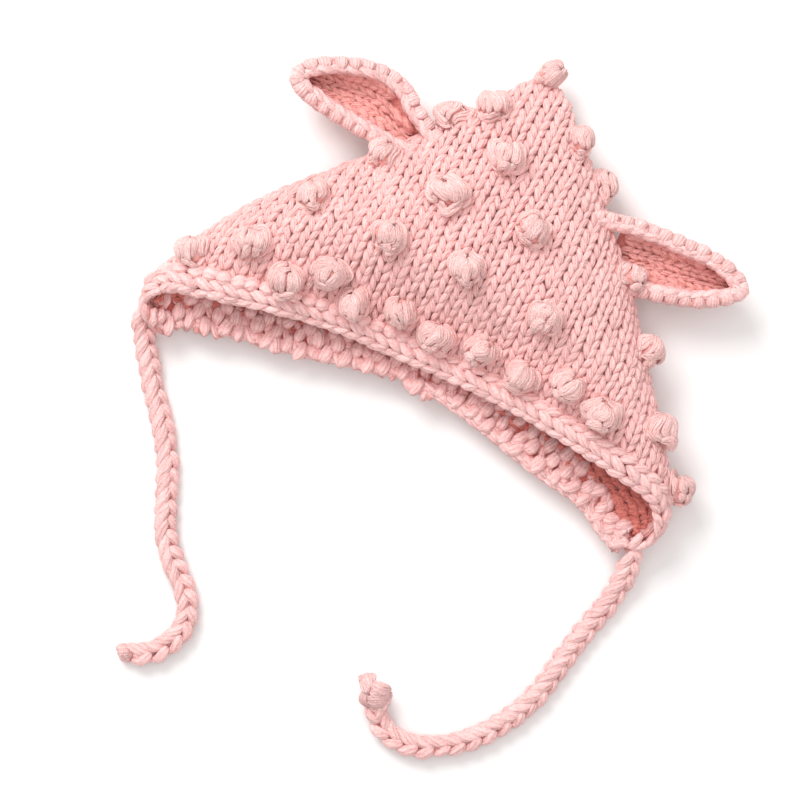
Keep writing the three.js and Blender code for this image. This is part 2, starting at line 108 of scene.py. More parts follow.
class Table:
    """Rows of numbers with named columns, read smoothly between the rows."""

    def __init__(self, names: str, rows: list[list[float]]) -> None:
        """Keeps the rows, whose first column is the place that they are read at."""
        self.columns = names.split()
        self.rows = np.array(rows, float)

    def read(self, column: str, at: np.ndarray) -> np.ndarray:
        """Reads one column by a cubic through its rows.

        Args:
            column: the column's name.
            at: places between the rows.

        Returns:
            The column's values there.
        """
        x = self.rows[:, 0]
        y = self.rows[:, self.columns.index(column)]
        k = np.arange(len(x))
        before, after = np.maximum(k - 1, 0), np.minimum(k + 1, len(x) - 1)
        slope = (y[after] - y[before]) / (x[after] - x[before])
        i = np.clip(np.searchsorted(x, at, side="right") - 1, 0, len(x) - 2)
        span = x[i + 1] - x[i]
        t = np.clip((at - x[i]) / span, 0, 1)
        return (
            (2 * t**3 - 3 * t**2 + 1) * y[i]
            + (t**3 - 2 * t**2 + t) * span * slope[i]
            + (3 * t**2 - 2 * t**3) * y[i + 1]
            + (t**3 - t**2) * span * slope[i + 1]
        )


# The hat's outline and lying thickness, as in the solids: up is a share of the height, left and
# right of the half width, and bottom, fold and top are shares of the depth.
OUTLINE = Table(
    "up left right bottom fold top",
    [
        [-0.16, 0.88, 0.925, 0.13, 0.31, 0.74],
        [-0.062, 1.01, 0.98, 0.13, 0.35, 0.84],
        [0.0, 1.05, 0.985, 0.13, 0.37, 0.93],
        [0.085, 1.045, 0.955, 0.13, 0.37, 0.98],
        [0.158, 1.0, 0.89, 0.13, 0.37, 1.0],
        [0.285, 0.905, 0.785, 0.13, 0.36, 0.99],
        [0.42, 0.765, 0.67, 0.13, 0.35, 0.93],
        [0.577, 0.555, 0.53, 0.13, 0.34, 0.83],
        [0.704, 0.38, 0.4, 0.13, 0.33, 0.71],
        [0.84, 0.21, 0.255, 0.14, 0.32, 0.58],
        [0.924, 0.11, 0.155, 0.16, 0.31, 0.48],
        [0.972, 0.07, 0.105, 0.19, 0.3, 0.41],
        [1.0, 0.03, 0.05, 0.25, 0.3, 0.35],
    ],
)

# The mouth, once round: angle 0 is the right fold, 90 the middle of the face edge, 180 the left
# fold and 270 the middle of the neck edge. up and height are shares of the height and the depth.
MOUTH = Table(
    "angle up height",
    [
        [-30, -0.075, 0.13],
        [-20, -0.105, 0.16],
        [-10, -0.085, 0.26],
        [0, -0.03, 0.37],
        [10, 0.022, 0.47],
        [19, 0.054, 0.58],
        [30, 0.077, 0.66],
        [42, 0.102, 0.69],
        [54, 0.127, 0.66],
        [68, 0.151, 0.57],
        [82, 0.164, 0.48],
        [96, 0.17, 0.46],
        [112, 0.176, 0.52],
        [126, 0.164, 0.6],
        [140, 0.142, 0.6],
        [153, 0.124, 0.54],
        [165, 0.108, 0.46],
        [173, 0.082, 0.4],
        [180, 0.048, 0.37],
        [187, 0.015, 0.32],
        [196, 0.0, 0.22],
        [210, 0.038, 0.15],
        [226, 0.066, 0.13],
        [243, 0.088, 0.13],
        [258, 0.12, 0.13],
        [268, 0.13, 0.13],
        [281, 0.104, 0.13],
        [300, 0.032, 0.13],
        [316, -0.01, 0.13],
        [330, -0.075, 0.13],
        [340, -0.105, 0.16],
    ],
)

# The ears, a section to each row from the slope to the tip: along is a share of the ear's
# length, low and high of its width.
LEFT_EAR = Table(
    "along low high rise",
    [
        [-0.22, -0.26, 0.24, 0.25],
        [0.04, -0.29, 0.52, 0.12],
        [0.2, -0.25, 0.77, 0.02],
        [0.41, -0.2, 0.87, 0.0],
        [0.62, -0.15, 0.82, 0.0],
        [0.81, -0.06, 0.7, 0.05],
        [0.94, 0.02, 0.56, 0.1],
        [1.0, 0.1, 0.44, 0.14],
    ],
)
RIGHT_EAR = Table(
    "along low high rise",
    [
        [-0.28, -0.46, 0.5, 0.25],
        [0.04, -0.5, 0.6, 0.12],
        [0.25, -0.45, 0.61, 0.02],
        [0.47, -0.39, 0.6, 0.0],
        [0.66, -0.31, 0.59, 0.0],
        [0.84, -0.18, 0.52, 0.05],
        [0.95, -0.06, 0.43, 0.1],
        [1.0, 0.03, 0.37, 0.14],
    ],
)

# The ties' routes, the same points as the solids'.
LEFT_ROUTE = [
    (-117.0, 2.6, 11.5), (-114.9, -4.8, 9.0), (-110.3, -13.7, 6.2), (-103.4, -25.2, 4.6),
    (-97.0, -34.6, 4.3), (-91.0, -43.6, 4.3), (-85.6, -52.8, 4.3), (-81.9, -62.3, 4.3),
    (-78.6, -71.8, 4.3), (-74.0, -82.4, 4.3), (-67.6, -91.0, 4.3), (-60.0, -98.4, 4.3),
    (-55.0, -106.4, 4.3), (-54.6, -115.8, 4.3), (-58.8, -124.0, 4.3), (-64.0, -128.6, 4.3),
    (-68.6, -130.6, 4.3),
]
RIGHT_ROUTE = [
    (101.6, -16.5, 11.6), (102.6, -25.0, 8.6), (102.2, -33.6, 6.0), (100.3, -42.6, 4.6),
    (97.2, -52.0, 4.3), (94.0, -62.4, 4.3), (91.5, -72.6, 4.3), (89.0, -82.6, 4.3),
    (84.9, -92.4, 4.3), (79.5, -101.2, 4.3), (73.2, -109.2, 4.3), (65.4, -116.0, 4.3),
    (56.6, -120.8, 4.3), (47.8, -123.4, 4.3), (39.6, -122.8, 4.3), (33.2, -118.8, 5.2),
    (29.6, -113.4, 7.3),
]


# Ways that a bobble's strands cross its face, as shares of its radius: each row is a strand,
# with four places to the right and up.
WINDINGS = [
    [
        [(-0.15, 0.95), (0.6, 0.78), (0.96, 0.1), (0.68, -0.72)],
        [(-0.1, 0.95), (-0.65, 0.7), (-0.95, 0.0), (-0.74, -0.62)],
        [(-0.35, 0.78), (-0.62, 0.3), (-0.6, -0.25), (-0.32, -0.7)],
        [(-0.2, 0.62), (-0.27, 0.15), (-0.17, -0.3), (-0.02, -0.66)],
        [(-0.3, 0.85), (0.3, 0.68), (0.6, 0.0), (0.42, -0.8)],
        [(-0.02, 0.62), (0.17, 0.25), (0.2, -0.3), (0.1, -0.78)],
        [(-0.72, -0.52), (-0.35, -0.86), (0.15, -0.93), (0.58, -0.72)],
    ],
    [
        [(-0.1, 0.95), (-0.75, 0.62), (-0.93, -0.1), (-0.6, -0.78)],
        [(0.2, 0.95), (0.75, 0.62), (0.95, -0.1), (0.6, -0.84)],
        [(-0.52, -0.4), (-0.3, -0.55), (-0.1, -0.75), (-0.02, -0.96)],
        [(-0.2, 0.85), (-0.5, 0.35), (-0.42, -0.1), (-0.05, -0.45)],
        [(0.1, 0.88), (0.42, 0.45), (0.55, 0.0), (0.5, -0.55)],
        [(-0.02, 0.88), (-0.1, 0.4), (0.1, 0.0), (0.33, -0.48)],
        [(0.0, -0.5), (0.22, -0.6), (0.4, -0.76), (0.34, -0.96)],
    ],
    [
        [(0.1, 0.97), (-0.42, 0.75), (-0.82, 0.2), (-0.92, -0.42)],
        [(0.3, 0.95), (0.75, 0.7), (0.97, 0.2), (0.93, -0.32)],
        [(-0.62, -0.72), (-0.22, -0.82), (0.2, -0.84), (0.6, -0.74)],
        [(0.05, 0.85), (-0.32, 0.45), (-0.52, 0.0), (-0.56, -0.6)],
        [(0.15, 0.93), (0.52, 0.58), (0.7, 0.1), (0.68, -0.55)],
        [(0.02, 0.72), (-0.08, 0.2), (-0.15, -0.3), (-0.2, -0.82)],
        [(0.1, 0.85), (0.24, 0.4), (0.28, -0.1), (0.2, -0.7)],
    ],
]


# The knot of the right tie, and the nub of the left one, in the same way.
KNOT = [
    [(-0.25, 0.35), (-0.5, 0.0), (-0.68, -0.45), (-0.4, -0.9)],
    [(-0.45, -0.8), (0.0, -1.0), (0.4, -1.05), (0.75, -0.85)],
    [(-0.45, -0.5), (0.05, -0.72), (0.6, -0.8), (1.1, -0.6)],
    [(-0.42, -0.2), (0.15, -0.42), (0.7, -0.55), (1.25, -0.45)],
    [(-0.2, 0.2), (0.2, -0.1), (0.7, -0.3), (1.25, -0.32)],
    [(-0.05, 0.6), (0.3, 0.25), (0.72, -0.02), (1.15, -0.2)],
    [(-0.42, 0.0), (-0.45, 0.45), (-0.55, 0.85), (-0.68, 1.25)],
    [(-0.2, 0.3), (-0.24, 0.7), (-0.3, 1.0), (-0.36, 1.32)],
    [(0.02, 0.6), (0.0, 0.8), (-0.03, 1.0), (-0.06, 1.2)],
]
NUB = [
    [(-0.62, -0.7), (-0.85, -0.1), (-0.6, 0.6), (-0.1, 0.85)],
    [(0.62, -0.7), (0.85, -0.1), (0.6, 0.6), (0.1, 0.85)],
    [(-0.22, -0.9), (-0.3, -0.2), (-0.2, 0.4), (0.0, 0.75)],
    [(0.25, -0.9), (0.34, -0.2), (0.2, 0.4), (0.1, 0.75)],
]


# Finishes


def add_node(tree: bpy.types.NodeTree, kind: str, settings: dict = {}, links: dict = {}) -> bpy.types.Node:
    """Adds one node to a material.

    Args:
        tree: the material's node tree.
        kind: the node's type, such as "ShaderNodeMath".
        settings: a property's name, or an input's name or number, and its value.
        links: an input's name or number, and the node and output that feed it.

    Returns:
        The new node.
    """
    node = tree.nodes.new(kind)
    for name, value in settings.items():
        if isinstance(name, int) or name in node.inputs:
            node.inputs[name].default_value = value
        else:
            setattr(node, name, value)
    for name, (source, output) in links.items():
        tree.links.new(source.outputs[output], node.inputs[name])
    return node


@dataclass(frozen=True)
class CottonYarn:
    """Soft spun cotton yarn of three plies: matt, with a pale bloom of loose fibres."""

    name: str
    # light is the yarn's own colour; the second colour is the painted shade that low-lying strands and the grooves
    # between plies take.
    light: str = "#f9cac6"
    shade_colour: str = "#cf6f68"
    plies: float = 6.0
    fibre_size: float = 0.9 * MM
    ply_height: float = 0.38 * MM
    bloom: float = 0.3

    def material(self) -> bpy.types.Material:
        """Makes the yarn's material, whose pattern follows each strand's own UV map."""
        made = bpy.data.materials.new(self.name)
        made.use_nodes = True
        tree = made.node_tree
        tree.nodes.clear()
        uv = add_node(tree, "ShaderNodeTexCoord")
        split = add_node(tree, "ShaderNodeSeparateXYZ", links={0: (uv, "UV")})
        drift = add_node(tree, "ShaderNodeTexNoise", {"Scale": 2.6, "Detail": 1.0}, {"Vector": (uv, "UV")})
        lay = add_node(
            tree, "ShaderNodeMath", {"operation": "MULTIPLY_ADD", 1: 2.2}, {0: (drift, 0), 2: (split, 1)}
        )
        turn = add_node(
            tree, "ShaderNodeMath", {"operation": "MULTIPLY_ADD", 1: self.plies}, {0: (split, 0), 2: (lay, 0)}
        )
        wave = add_node(tree, "ShaderNodeMath", {"operation": "MULTIPLY", 1: math.pi}, {0: (turn, 0)})
        ply = add_node(tree, "ShaderNodeMath", {"operation": "SINE"}, {0: (wave, 0)})
        fold = add_node(tree, "ShaderNodeMath", {"operation": "ABSOLUTE"}, {0: (ply, 0)})
        ridge = add_node(tree, "ShaderNodeMath", {"operation": "POWER", 1: 0.7}, {0: (fold, 0)})

        # Loose fibres run along the yarn in crinkled tufts about 0.8 mm across.
        stretch = add_node(tree, "ShaderNodeMapping", {"Scale": (11.0, 6.0, 1.0)}, {"Vector": (uv, "UV")})
        fibres = add_node(
            tree, "ShaderNodeTexNoise", {"Scale": 1.0, "Detail": 3.0, "Roughness": 0.6}, {"Vector": (stretch, 0)}
        )
        fuzz = add_node(
            tree, "ShaderNodeTexNoise", {"Scale": 1 / self.fibre_size, "Detail": 2.0}, {"Vector": (uv, "Object")}
        )
        fluff = add_node(tree, "ShaderNodeMath", {"operation": "ADD"}, {0: (fibres, 0), 1: (fuzz, 0)})
        height = add_node(
            tree, "ShaderNodeMath", {"operation": "MULTIPLY_ADD", 1: 1.5}, {0: (fluff, 0), 2: (ridge, 0)}
        )
        bump = add_node(
            tree, "ShaderNodeBump", {"Strength": 0.8, "Distance": self.ply_height}, {"Height": (height, 0)}
        )

        # Painted shade: the colour runs from the light colour down to the second colour where the depth attribute
        # marks low-lying yarn, and in the grooves between the plies; the fibre noise and the shade attribute add tone
        # that differs at random.
        depth = add_node(tree, "ShaderNodeAttribute", {"attribute_name": "depth"})
        shade = add_node(tree, "ShaderNodeAttribute", {"attribute_name": "shade"})
        patches = add_node(
            tree, "ShaderNodeTexNoise", {"Scale": 1 / (22 * MM), "Detail": 1.0}, {"Vector": (uv, "Object")}
        )
        lit = add_node(
            tree, "ShaderNodeMath", {"operation": "MULTIPLY_ADD", 1: 0.45}, {0: (ridge, 0), 2: (depth, "Fac")}
        )
        grain_and_shade = add_node(
            tree, "ShaderNodeMath", {"operation": "MULTIPLY_ADD", 1: 1.9}, {0: (fluff, 0), 2: (lit, 0)}
        )
        low = add_node(
            tree,
            "ShaderNodeMath",
            {"operation": "MULTIPLY_ADD", 1: 0.62, 2: -1.12, "use_clamp": True},
            {0: (grain_and_shade, 0)},
        )
        colour = add_node(
            tree,
            "ShaderNodeMix",
            {"data_type": "RGBA", 6: linear(self.shade_colour), 7: linear(self.light)},
            {0: (low, 0)},
        )
        vary = add_node(
            tree, "ShaderNodeMath", {"operation": "ADD"}, {0: (shade, "Fac"), 1: (patches, 0)}
        )
        value = add_node(
            tree, "ShaderNodeMath", {"operation": "MULTIPLY_ADD", 1: 0.14, 2: 0.86}, {0: (vary, 0)}
        )
        toned = add_node(
            tree, "ShaderNodeHueSaturation", {"Saturation": 1.0}, {"Color": (colour, 2), "Value": (value, 0)}
        )
        shader = add_node(
            tree,
            "ShaderNodeBsdfPrincipled",
            {
                "Roughness": 0.9,
                "IOR": 1.45,
                "Specular IOR Level": 0.15,
                "Sheen Weight": self.bloom,
                "Sheen Roughness": 0.5,
                "Sheen Tint": linear("#ffe3df"),
                "Subsurface Weight": 0.12,
                "Subsurface Radius": (1.0, 0.45, 0.4),
                "Subsurface Scale": 1.2 * MM,
            },
            {"Base Color": (toned, 0), "Normal": (bump, 0)},
        )
        add_node(tree, "ShaderNodeOutputMaterial", links={"Surface": (shader, 0)})
        return made


@dataclass(frozen=True)
class PaperFloor:
    """Smooth white paper, which the bonnet lies on."""

    name: str = "white_paper"
    colour: str = "#f7f6f5"

    def material(self) -> bpy.types.Material:
        """Makes the paper's plain material."""
        made = bpy.data.materials.new(self.name)
        made.use_nodes = True
        shader = made.node_tree.nodes["Principled BSDF"]
        shader.inputs["Base Color"].default_value = linear(self.colour)
        shader.inputs["Roughness"].default_value = 0.85
        shader.inputs["Specular IOR Level"].default_value = 0.2
        return made


# Forms that yarn is laid on. Each takes u across, v along and w out of it, in millimetres.


class Ground(Protocol):
    """A surface that stitches lie on."""

    def place(self, u: np.ndarray, v: np.ndarray, w: np.ndarray) -> np.ndarray:
        """Turns across, along and out of the surface into points."""


@dataclass(frozen=True)
class HatForm:
    """The lying hat's cloth: a point for an angle round it and a place up it."""

    half_width: float = 111.0
    height: float = 142.0
    depth: float = 46.0
    wall: float = 5.0
    slope_wall: float = 6.0
    mouth_ease: float = 0.3
    top_round: float = 2.4
    under_round: float = 6.0

    def mouth(self, angle: np.ndarray, column: str) -> np.ndarray:
        """Reads the mouth's table at any angle, in degrees."""
        return MOUTH.read(column, np.mod(angle + 380, 360) - 20)

    def mouth_line(self, angle: np.ndarray) -> np.ndarray:
        """How far up the middle line of the mouth's band lies at an angle."""
        return self.mouth(angle, "up") * self.height

    def cloth(self, angle: np.ndarray, y: np.ndarray, grow: float = 0.0) -> np.ndarray:
        """A point of the cloth's outside.

        Args:
            angle: degrees round the hat, from the right fold over the front.
            y: place up the hat.
            grow: how far outwards the point is moved.

        Returns:
            Points, with x, y and z on the last axis.
        """
        angle, y = np.broadcast_arrays(np.asarray(angle, float), np.asarray(y, float))
        across = np.cos(np.radians(angle))
        under = np.sin(np.radians(angle)) < 0
        up = y / self.height
        half = np.where(across < 0, OUTLINE.read("left", up), OUTLINE.read("right", up))
        half = half * self.half_width + grow * self.slope_wall / self.wall
        fold = OUTLINE.read("fold", up) * self.depth
        size = np.abs(across)
        ease = smooth((y - self.mouth_line(angle)) / self.height / self.mouth_ease)
        edge = self.mouth(angle, "height") * self.depth - fold
        power = np.where(under, self.under_round, self.top_round)
        round_off = np.sqrt(np.maximum(0, 1 - size**power))
        far = np.where(under, OUTLINE.read("bottom", up), OUTLINE.read("top", up))
        full = (far * self.depth - fold) * round_off
        side = np.where(under, -1.0, 1.0)
        z = fold + edge + (full - edge) * ease + side * grow * round_off
        return np.stack([across * np.maximum(half, 0.5), y, z], axis=-1)

    def outward(self, angle: np.ndarray, y: np.ndarray) -> np.ndarray:
        """The cloth's outward direction at an angle and a place."""
        step = 0.5
        around = self.cloth(angle + step, y) - self.cloth(angle - step, y)
        up = self.cloth(angle, y + step) - self.cloth(angle, y - step)
        return unit(np.cross(up, around))


class ClothGround:
    """The whole cloth: u is the length round it from the front's middle, and v the place up it."""

    def __init__(self, form: HatForm) -> None:
        """Measures the length round the cloth at each place up it."""
        self.form = form
        self.rows = np.linspace(-26, form.height + 2, 90)
        angles = np.linspace(-90, 270, 481)
        points = form.cloth(angles[None, :], self.rows[:, None])
        steps = np.linalg.norm(np.diff(points, axis=1), axis=-1)
        total = np.concatenate([np.zeros((len(self.rows), 1)), np.cumsum(steps, axis=1)], axis=1)
        middle = np.argmin(np.abs(angles - 90))
        length = total[:, middle : middle + 1] - total
        self.right = length[:, 0]
        self.left = -length[:, -1]
        self.share = np.linspace(-1, 1, 481)
        self.angle = np.empty((len(self.rows), len(self.share)))
        for i, row in enumerate(length):
            wanted = np.where(self.share > 0, self.share * self.right[i], self.share * self.left[i])
            self.angle[i] = np.interp(wanted, row[::-1], angles[::-1])

    def half_round(self, u: np.ndarray, v: np.ndarray) -> np.ndarray:
        """The length from the front's middle to the back's, on u's side."""
        return np.where(
            u > 0, np.interp(v, self.rows, self.right), np.interp(v, self.rows, self.left)
        )

    def angle_at(self, u: np.ndarray, v: np.ndarray) -> np.ndarray:
        """The angle round the hat, in degrees, for a length round it and a place up it."""
        share = np.clip(u / np.maximum(self.half_round(u, v), 0.1), -1, 1)
        column = (share + 1) / 2 * (len(self.share) - 1)
        row = np.interp(v, self.rows, np.arange(len(self.rows)))
        j = np.clip(column.astype(int), 0, len(self.share) - 2)
        i = np.clip(row.astype(int), 0, len(self.rows) - 2)
        a, b = column - j, row - i
        low = self.angle[i, j] * (1 - a) + self.angle[i, j + 1] * a
        high = self.angle[i + 1, j] * (1 - a) + self.angle[i + 1, j + 1] * a
        return low * (1 - b) + high * b

    def place(self, u: np.ndarray, v: np.ndarray, w: np.ndarray) -> np.ndarray:
        """Turns across, along and out of the cloth into points."""
        angle = self.angle_at(u, v)
        return self.form.cloth(angle, v) + self.form.outward(angle, v) * w[..., None]


class LineGround:
    """A round or flat edge along a line in space: v runs along it, and w stands out of it.

    Where it is round, u is the length round its section, from the outward side to the free one.
    """

    def __init__(
        self,
        points: np.ndarray,
        outs: np.ndarray,
        half_width: float,
        half_thickness: float,
        flat: bool = False,
        curl: float = 0.0,
    ) -> None:
        """Keeps the line and the directions at each of its points."""
        steps = np.linalg.norm(np.diff(points, axis=0), axis=1)
        self.at = np.concatenate([[0.0], np.cumsum(steps)])
        self.length = float(self.at[-1])
        self.points = points
        self.along = unit(np.gradient(points, self.at, axis=0))
        self.out = unit(outs - self.along * np.sum(outs * self.along, axis=1, keepdims=True))
        self.free = np.cross(self.out, self.along)
        self.half_width = half_width
        self.half_thickness = half_thickness
        self.flat = flat
        self.curl = curl

    def _read(self, values: np.ndarray, v: np.ndarray) -> np.ndarray:
        """Reads a direction or point at a place along the line."""
        return np.stack([np.interp(v, self.at, values[:, k]) for k in range(3)], axis=-1)

    def place(self, u: np.ndarray, v: np.ndarray, w: np.ndarray) -> np.ndarray:
        """Turns round, along and out of the edge into points."""
        past = v - np.clip(v, 0, self.length)
        middle = self._read(self.points, v) + self._read(self.along, v) * past[..., None]
        out, free = unit(self._read(self.out, v)), unit(self._read(self.free, v))
        if self.flat:
            lift = w + self.curl * np.maximum(0, u / self.half_width) ** 2
            return middle + free * u[..., None] + out * lift[..., None]
        turn = u / ((self.half_width + self.half_thickness) / 2)
        sideways = np.sin(turn) * (self.half_width + w)
        upwards = np.cos(turn) * (self.half_thickness + w)
        return middle + free * sideways[..., None] + out * upwards[..., None]


@dataclass
class EarGround:
    """The cupped cloth of an ear: v runs from its root to its tip, and u from its middle line."""

    rows: Table
    root_across: float
    root_up: float
    side: float
    form: HatForm
    length: float = 51.0
    width: float = 28.0
    depth: float = 10.0
    rim_radius: float = 3.6
    rim_height: float = 20.0
    closing: float = 0.55
    power: float = 2.4

    def edge(self, along: np.ndarray, column: str, inset: float) -> np.ndarray:
        """Points of one edge, low or high, at shares of the ear's length."""
        sign = 1.0 if column == "low" else -1.0
        y = self.root_up * self.form.height + self.rows.read(column, along) * self.width + sign * inset
        z = self.rim_height + self.rows.read("rise", along) * self.depth
        x = self.root_across * self.form.half_width + self.side * along * self.length
        return np.stack([x, y, z], axis=-1)

    def rim_line(self) -> np.ndarray:
        """The middle line of the rim, from its low root round the tip to its high root."""
        places = self.rows.rows[:-1, 0]
        low = self.edge(places, "low", self.rim_radius)
        high = self.edge(places[::-1], "high", self.rim_radius)
        tip = (self.edge(np.ones(1), "low", 0.0) + self.edge(np.ones(1), "high", 0.0)) / 2
        line = np.concatenate([low, tip, high])
        line[:, 0] -= self.side * self.rim_radius
        return line

    def width_at(self, v: np.ndarray) -> np.ndarray:
        """The cloth's width between its rims at a place along it."""
        along = v / self.length
        low, high = self.edge(along, "low", self.rim_radius), self.edge(along, "high", self.rim_radius)
        return np.maximum(high[..., 1] - low[..., 1], 2.0)

    def surface(self, share: np.ndarray, v: np.ndarray) -> np.ndarray:
        """Points of the cup's middle layer, share from -1 at the low rim to 1 at the high one."""
        along = v / self.length
        low, high = self.edge(along, "low", self.rim_radius), self.edge(along, "high", self.rim_radius)
        towards_tip = np.maximum(0, (along - self.closing) / (1 - self.closing))
        closing = np.sqrt(np.maximum(0.05, 1 - towards_tip**2))
        point = low + (high - low) * ((share + 1) / 2)[..., None]
        hollow = self.depth * closing * (1 - np.minimum(np.abs(share), 1.0) ** self.power)
        return point - hollow[..., None] * UP

    def place(self, u: np.ndarray, v: np.ndarray, w: np.ndarray) -> np.ndarray:
        """Turns across, along and out of the cup into points. Its hollow side is out."""
        share = u / self.width_at(v) * 2
        step = 0.04
        across = self.surface(share + step, v) - self.surface(share - step, v)
        along = self.surface(share, v + 0.5) - self.surface(share, v - 0.5)
        normal = unit(np.cross(along, across) * -self.side)
        normal = np.where(normal[..., 2:] < 0, -normal, normal)
        return self.surface(share, v) + normal * w[..., None]


class BallGround:
    """A ball's own room: u and v lie in the cloth's plane, and w stands out of it."""

    def __init__(
        self, middle: np.ndarray, out: np.ndarray, up: np.ndarray, flatten: float = 1.0, narrow: float = 1.0
    ) -> None:
        """Keeps the ball's middle and its three directions."""
        self.middle = middle
        self.out = unit(out)
        self.up = unit(up - self.out * np.dot(up, self.out))
        self.side = np.cross(self.up, self.out)
        self.flatten = flatten
        self.narrow = narrow

    def place(self, u: np.ndarray, v: np.ndarray, w: np.ndarray) -> np.ndarray:
        """Turns the ball's own directions into points."""
        return (
            self.middle
            + self.side * (u * self.narrow)[..., None]
            + self.up * v[..., None]
            + self.out * (w * self.flatten)[..., None]
        )


# Yarn


class Strand:
    """A closed, rounded length of yarn, drawn out of a sphere's rows of points."""

    def __init__(self, sides: int, rows: int) -> None:
        """Models the sphere and reads its points, faces and UV map."""
        bpy.ops.object.select_all(action="DESELECT")
        bpy.ops.mesh.primitive_uv_sphere_add(segments=sides, ring_count=rows, radius=1.0)
        ball = bpy.context.object
        mesh = ball.data
        co = np.array([v.co for v in mesh.vertices], float)
        turn = np.arccos(np.clip(-co[:, 2], -1, 1)) / math.pi
        self.row = np.rint(turn * rows).astype(int)
        self.at = np.arange(rows + 1) / rows
        self.turn = np.arctan2(co[:, 1], co[:, 0])
        self.round = np.sqrt(np.maximum(0, 1 - co[:, 2] ** 2))
        self.corners = np.array([loop.vertex_index for loop in mesh.loops], int)
        self.totals = np.array([len(face.vertices) for face in mesh.polygons], int)
        self.uv = np.array([item.uv for item in mesh.uv_layers.active.data], float)
        self.triangles = int(np.sum(self.totals - 2))
        bpy.data.objects.remove(ball)
        bpy.data.meshes.remove(mesh)

    def sweep(
        self, lines: np.ndarray, radius: np.ndarray, out: np.ndarray = UP, plump: float = 0.55
    ) -> np.ndarray:
        """Draws the strand along many lines at once.

        Args:
            lines: a point for each line and each of the strand's rows.
            radius: the yarn's radius for each line.
            out: the direction that stands out of the surface, or one for each point.
            plump: lower keeps the yarn fat nearer its ends.

        Returns:
            A point for each line and each point of the strand.
        """
        along = unit(np.gradient(lines, axis=1))
        side = unit(np.cross(along, np.broadcast_to(out, along.shape)))
        up = np.cross(side, along)
        size = np.broadcast_to(radius, (len(lines),))[:, None, None]
        ring = size * (self.round**plump)[None, :, None]
        cos, sin = np.cos(self.turn)[None, :, None], np.sin(self.turn)[None, :, None]
        return lines[:, self.row] + ring * (cos * up[:, self.row] + sin * side[:, self.row])


class YarnMesh:
    """Gathers strands and joins them into one mesh with a UV map and two attributes."""

    def __init__(self, name: str) -> None:
        """Starts an empty mesh."""
        self.name = name
        self.points: list[np.ndarray] = []
        self.corners: list[np.ndarray] = []
        self.totals: list[np.ndarray] = []
        self.uvs: list[np.ndarray] = []
        self.depth: list[np.ndarray] = []
        self.shade: list[np.ndarray] = []
        self.count = 0
        self.rng = np.random.default_rng(SEED + sum(map(ord, name)))
        self.phase = np.zeros(3)

    def add(
        self,
        strand: Strand,
        points: np.ndarray,
        depth: np.ndarray,
        twist: float = 0.8,
        girth: float = 1.0,
    ) -> None:
        """Adds strands.

        Args:
            strand: the strand that the points belong to.
            points: a point for each strand and each of its points, in millimetres.
            depth: how much painted shade each point takes, in the same order: 0 for a point low in the cloth, painted
                in the full shade colour, and 1 for one on top, painted in none.
            twist: how many turns the plies make in the strand's length.
            girth: how thick the strand is, in yarns, so that its plies keep their size.
        """
        many, each = points.shape[:2]
        offsets = self.count + each * np.arange(many)
        self.points.append(points.reshape(-1, 3))
        self.corners.append((strand.corners[None, :] + offsets[:, None]).ravel())
        self.totals.append(np.tile(strand.totals, many))
        shift = self.rng.random((many, 1, 2))
        self.uvs.append((strand.uv[None] * np.array([girth, twist]) + shift).reshape(-1, 2))
        self.depth.append(np.clip(depth, 0, 1).reshape(-1))
        self.shade.append(np.repeat(self.rng.random(many), each))
        self.count += many * each

    def lay(
        self,
        strand: Strand,
        ground: Ground,
        lines: np.ndarray,
        radius: np.ndarray,
        level: tuple[float, float],
        twist: float = 0.8,
        out: np.ndarray = UP,
        plump: float = 0.55,
    ) -> None:
        """Draws strands along lines on a ground, and adds them.

        Args:
            strand: the strand to draw.
            ground: what the lines lie on.
            lines: across, along and out of the ground, for each line and row.
            radius: the yarn's radius for each line.
            level: how far out of the ground yarn is painted in the full shade colour, and how far out it is painted
                in none.
            twist: how many turns the plies make in the strand's length.
            out: the direction that stands out of the ground, in the lines' own room.
            plump: lower keeps the yarn fat nearer its ends.
        """
        local = strand.sweep(lines, radius, out, plump)
        points = ground.place(local[..., 0], local[..., 1], local[..., 2])
        # Painted shade: yarn that lies lower in the ground is painted darker.
        depth = (local[..., 2] - level[0]) / (level[1] - level[0])
        self.add(strand, points, depth, twist, float(np.mean(radius)) / 1.5)

    def finish(self, shift: np.ndarray, material: bpy.types.Material, nodes: Iterable[str]) -> bpy.types.Object:
        """Makes the object, in metres.

        Args:
            shift: from the hat's own middle to the frame's origin, in millimetres.
            material: the yarn's finish.
            nodes: the solids that it stands for.

        Returns:
            The new piece, which rides on the hat.
        """
        points = (np.concatenate(self.points) + shift) * MM
        # The depth attribute is the painted shade that the material reads; shade is a tone that differs at random
        # between strands.
        piece = mesh_object(
            self.name,
            points,
            np.concatenate(self.corners),
            np.concatenate(self.totals),
            np.concatenate(self.uvs),
            {"depth": np.concatenate(self.depth), "shade": np.concatenate(self.shade)},
        )
        piece.data.materials.append(material)
        dress(piece, nodes)
        return piece


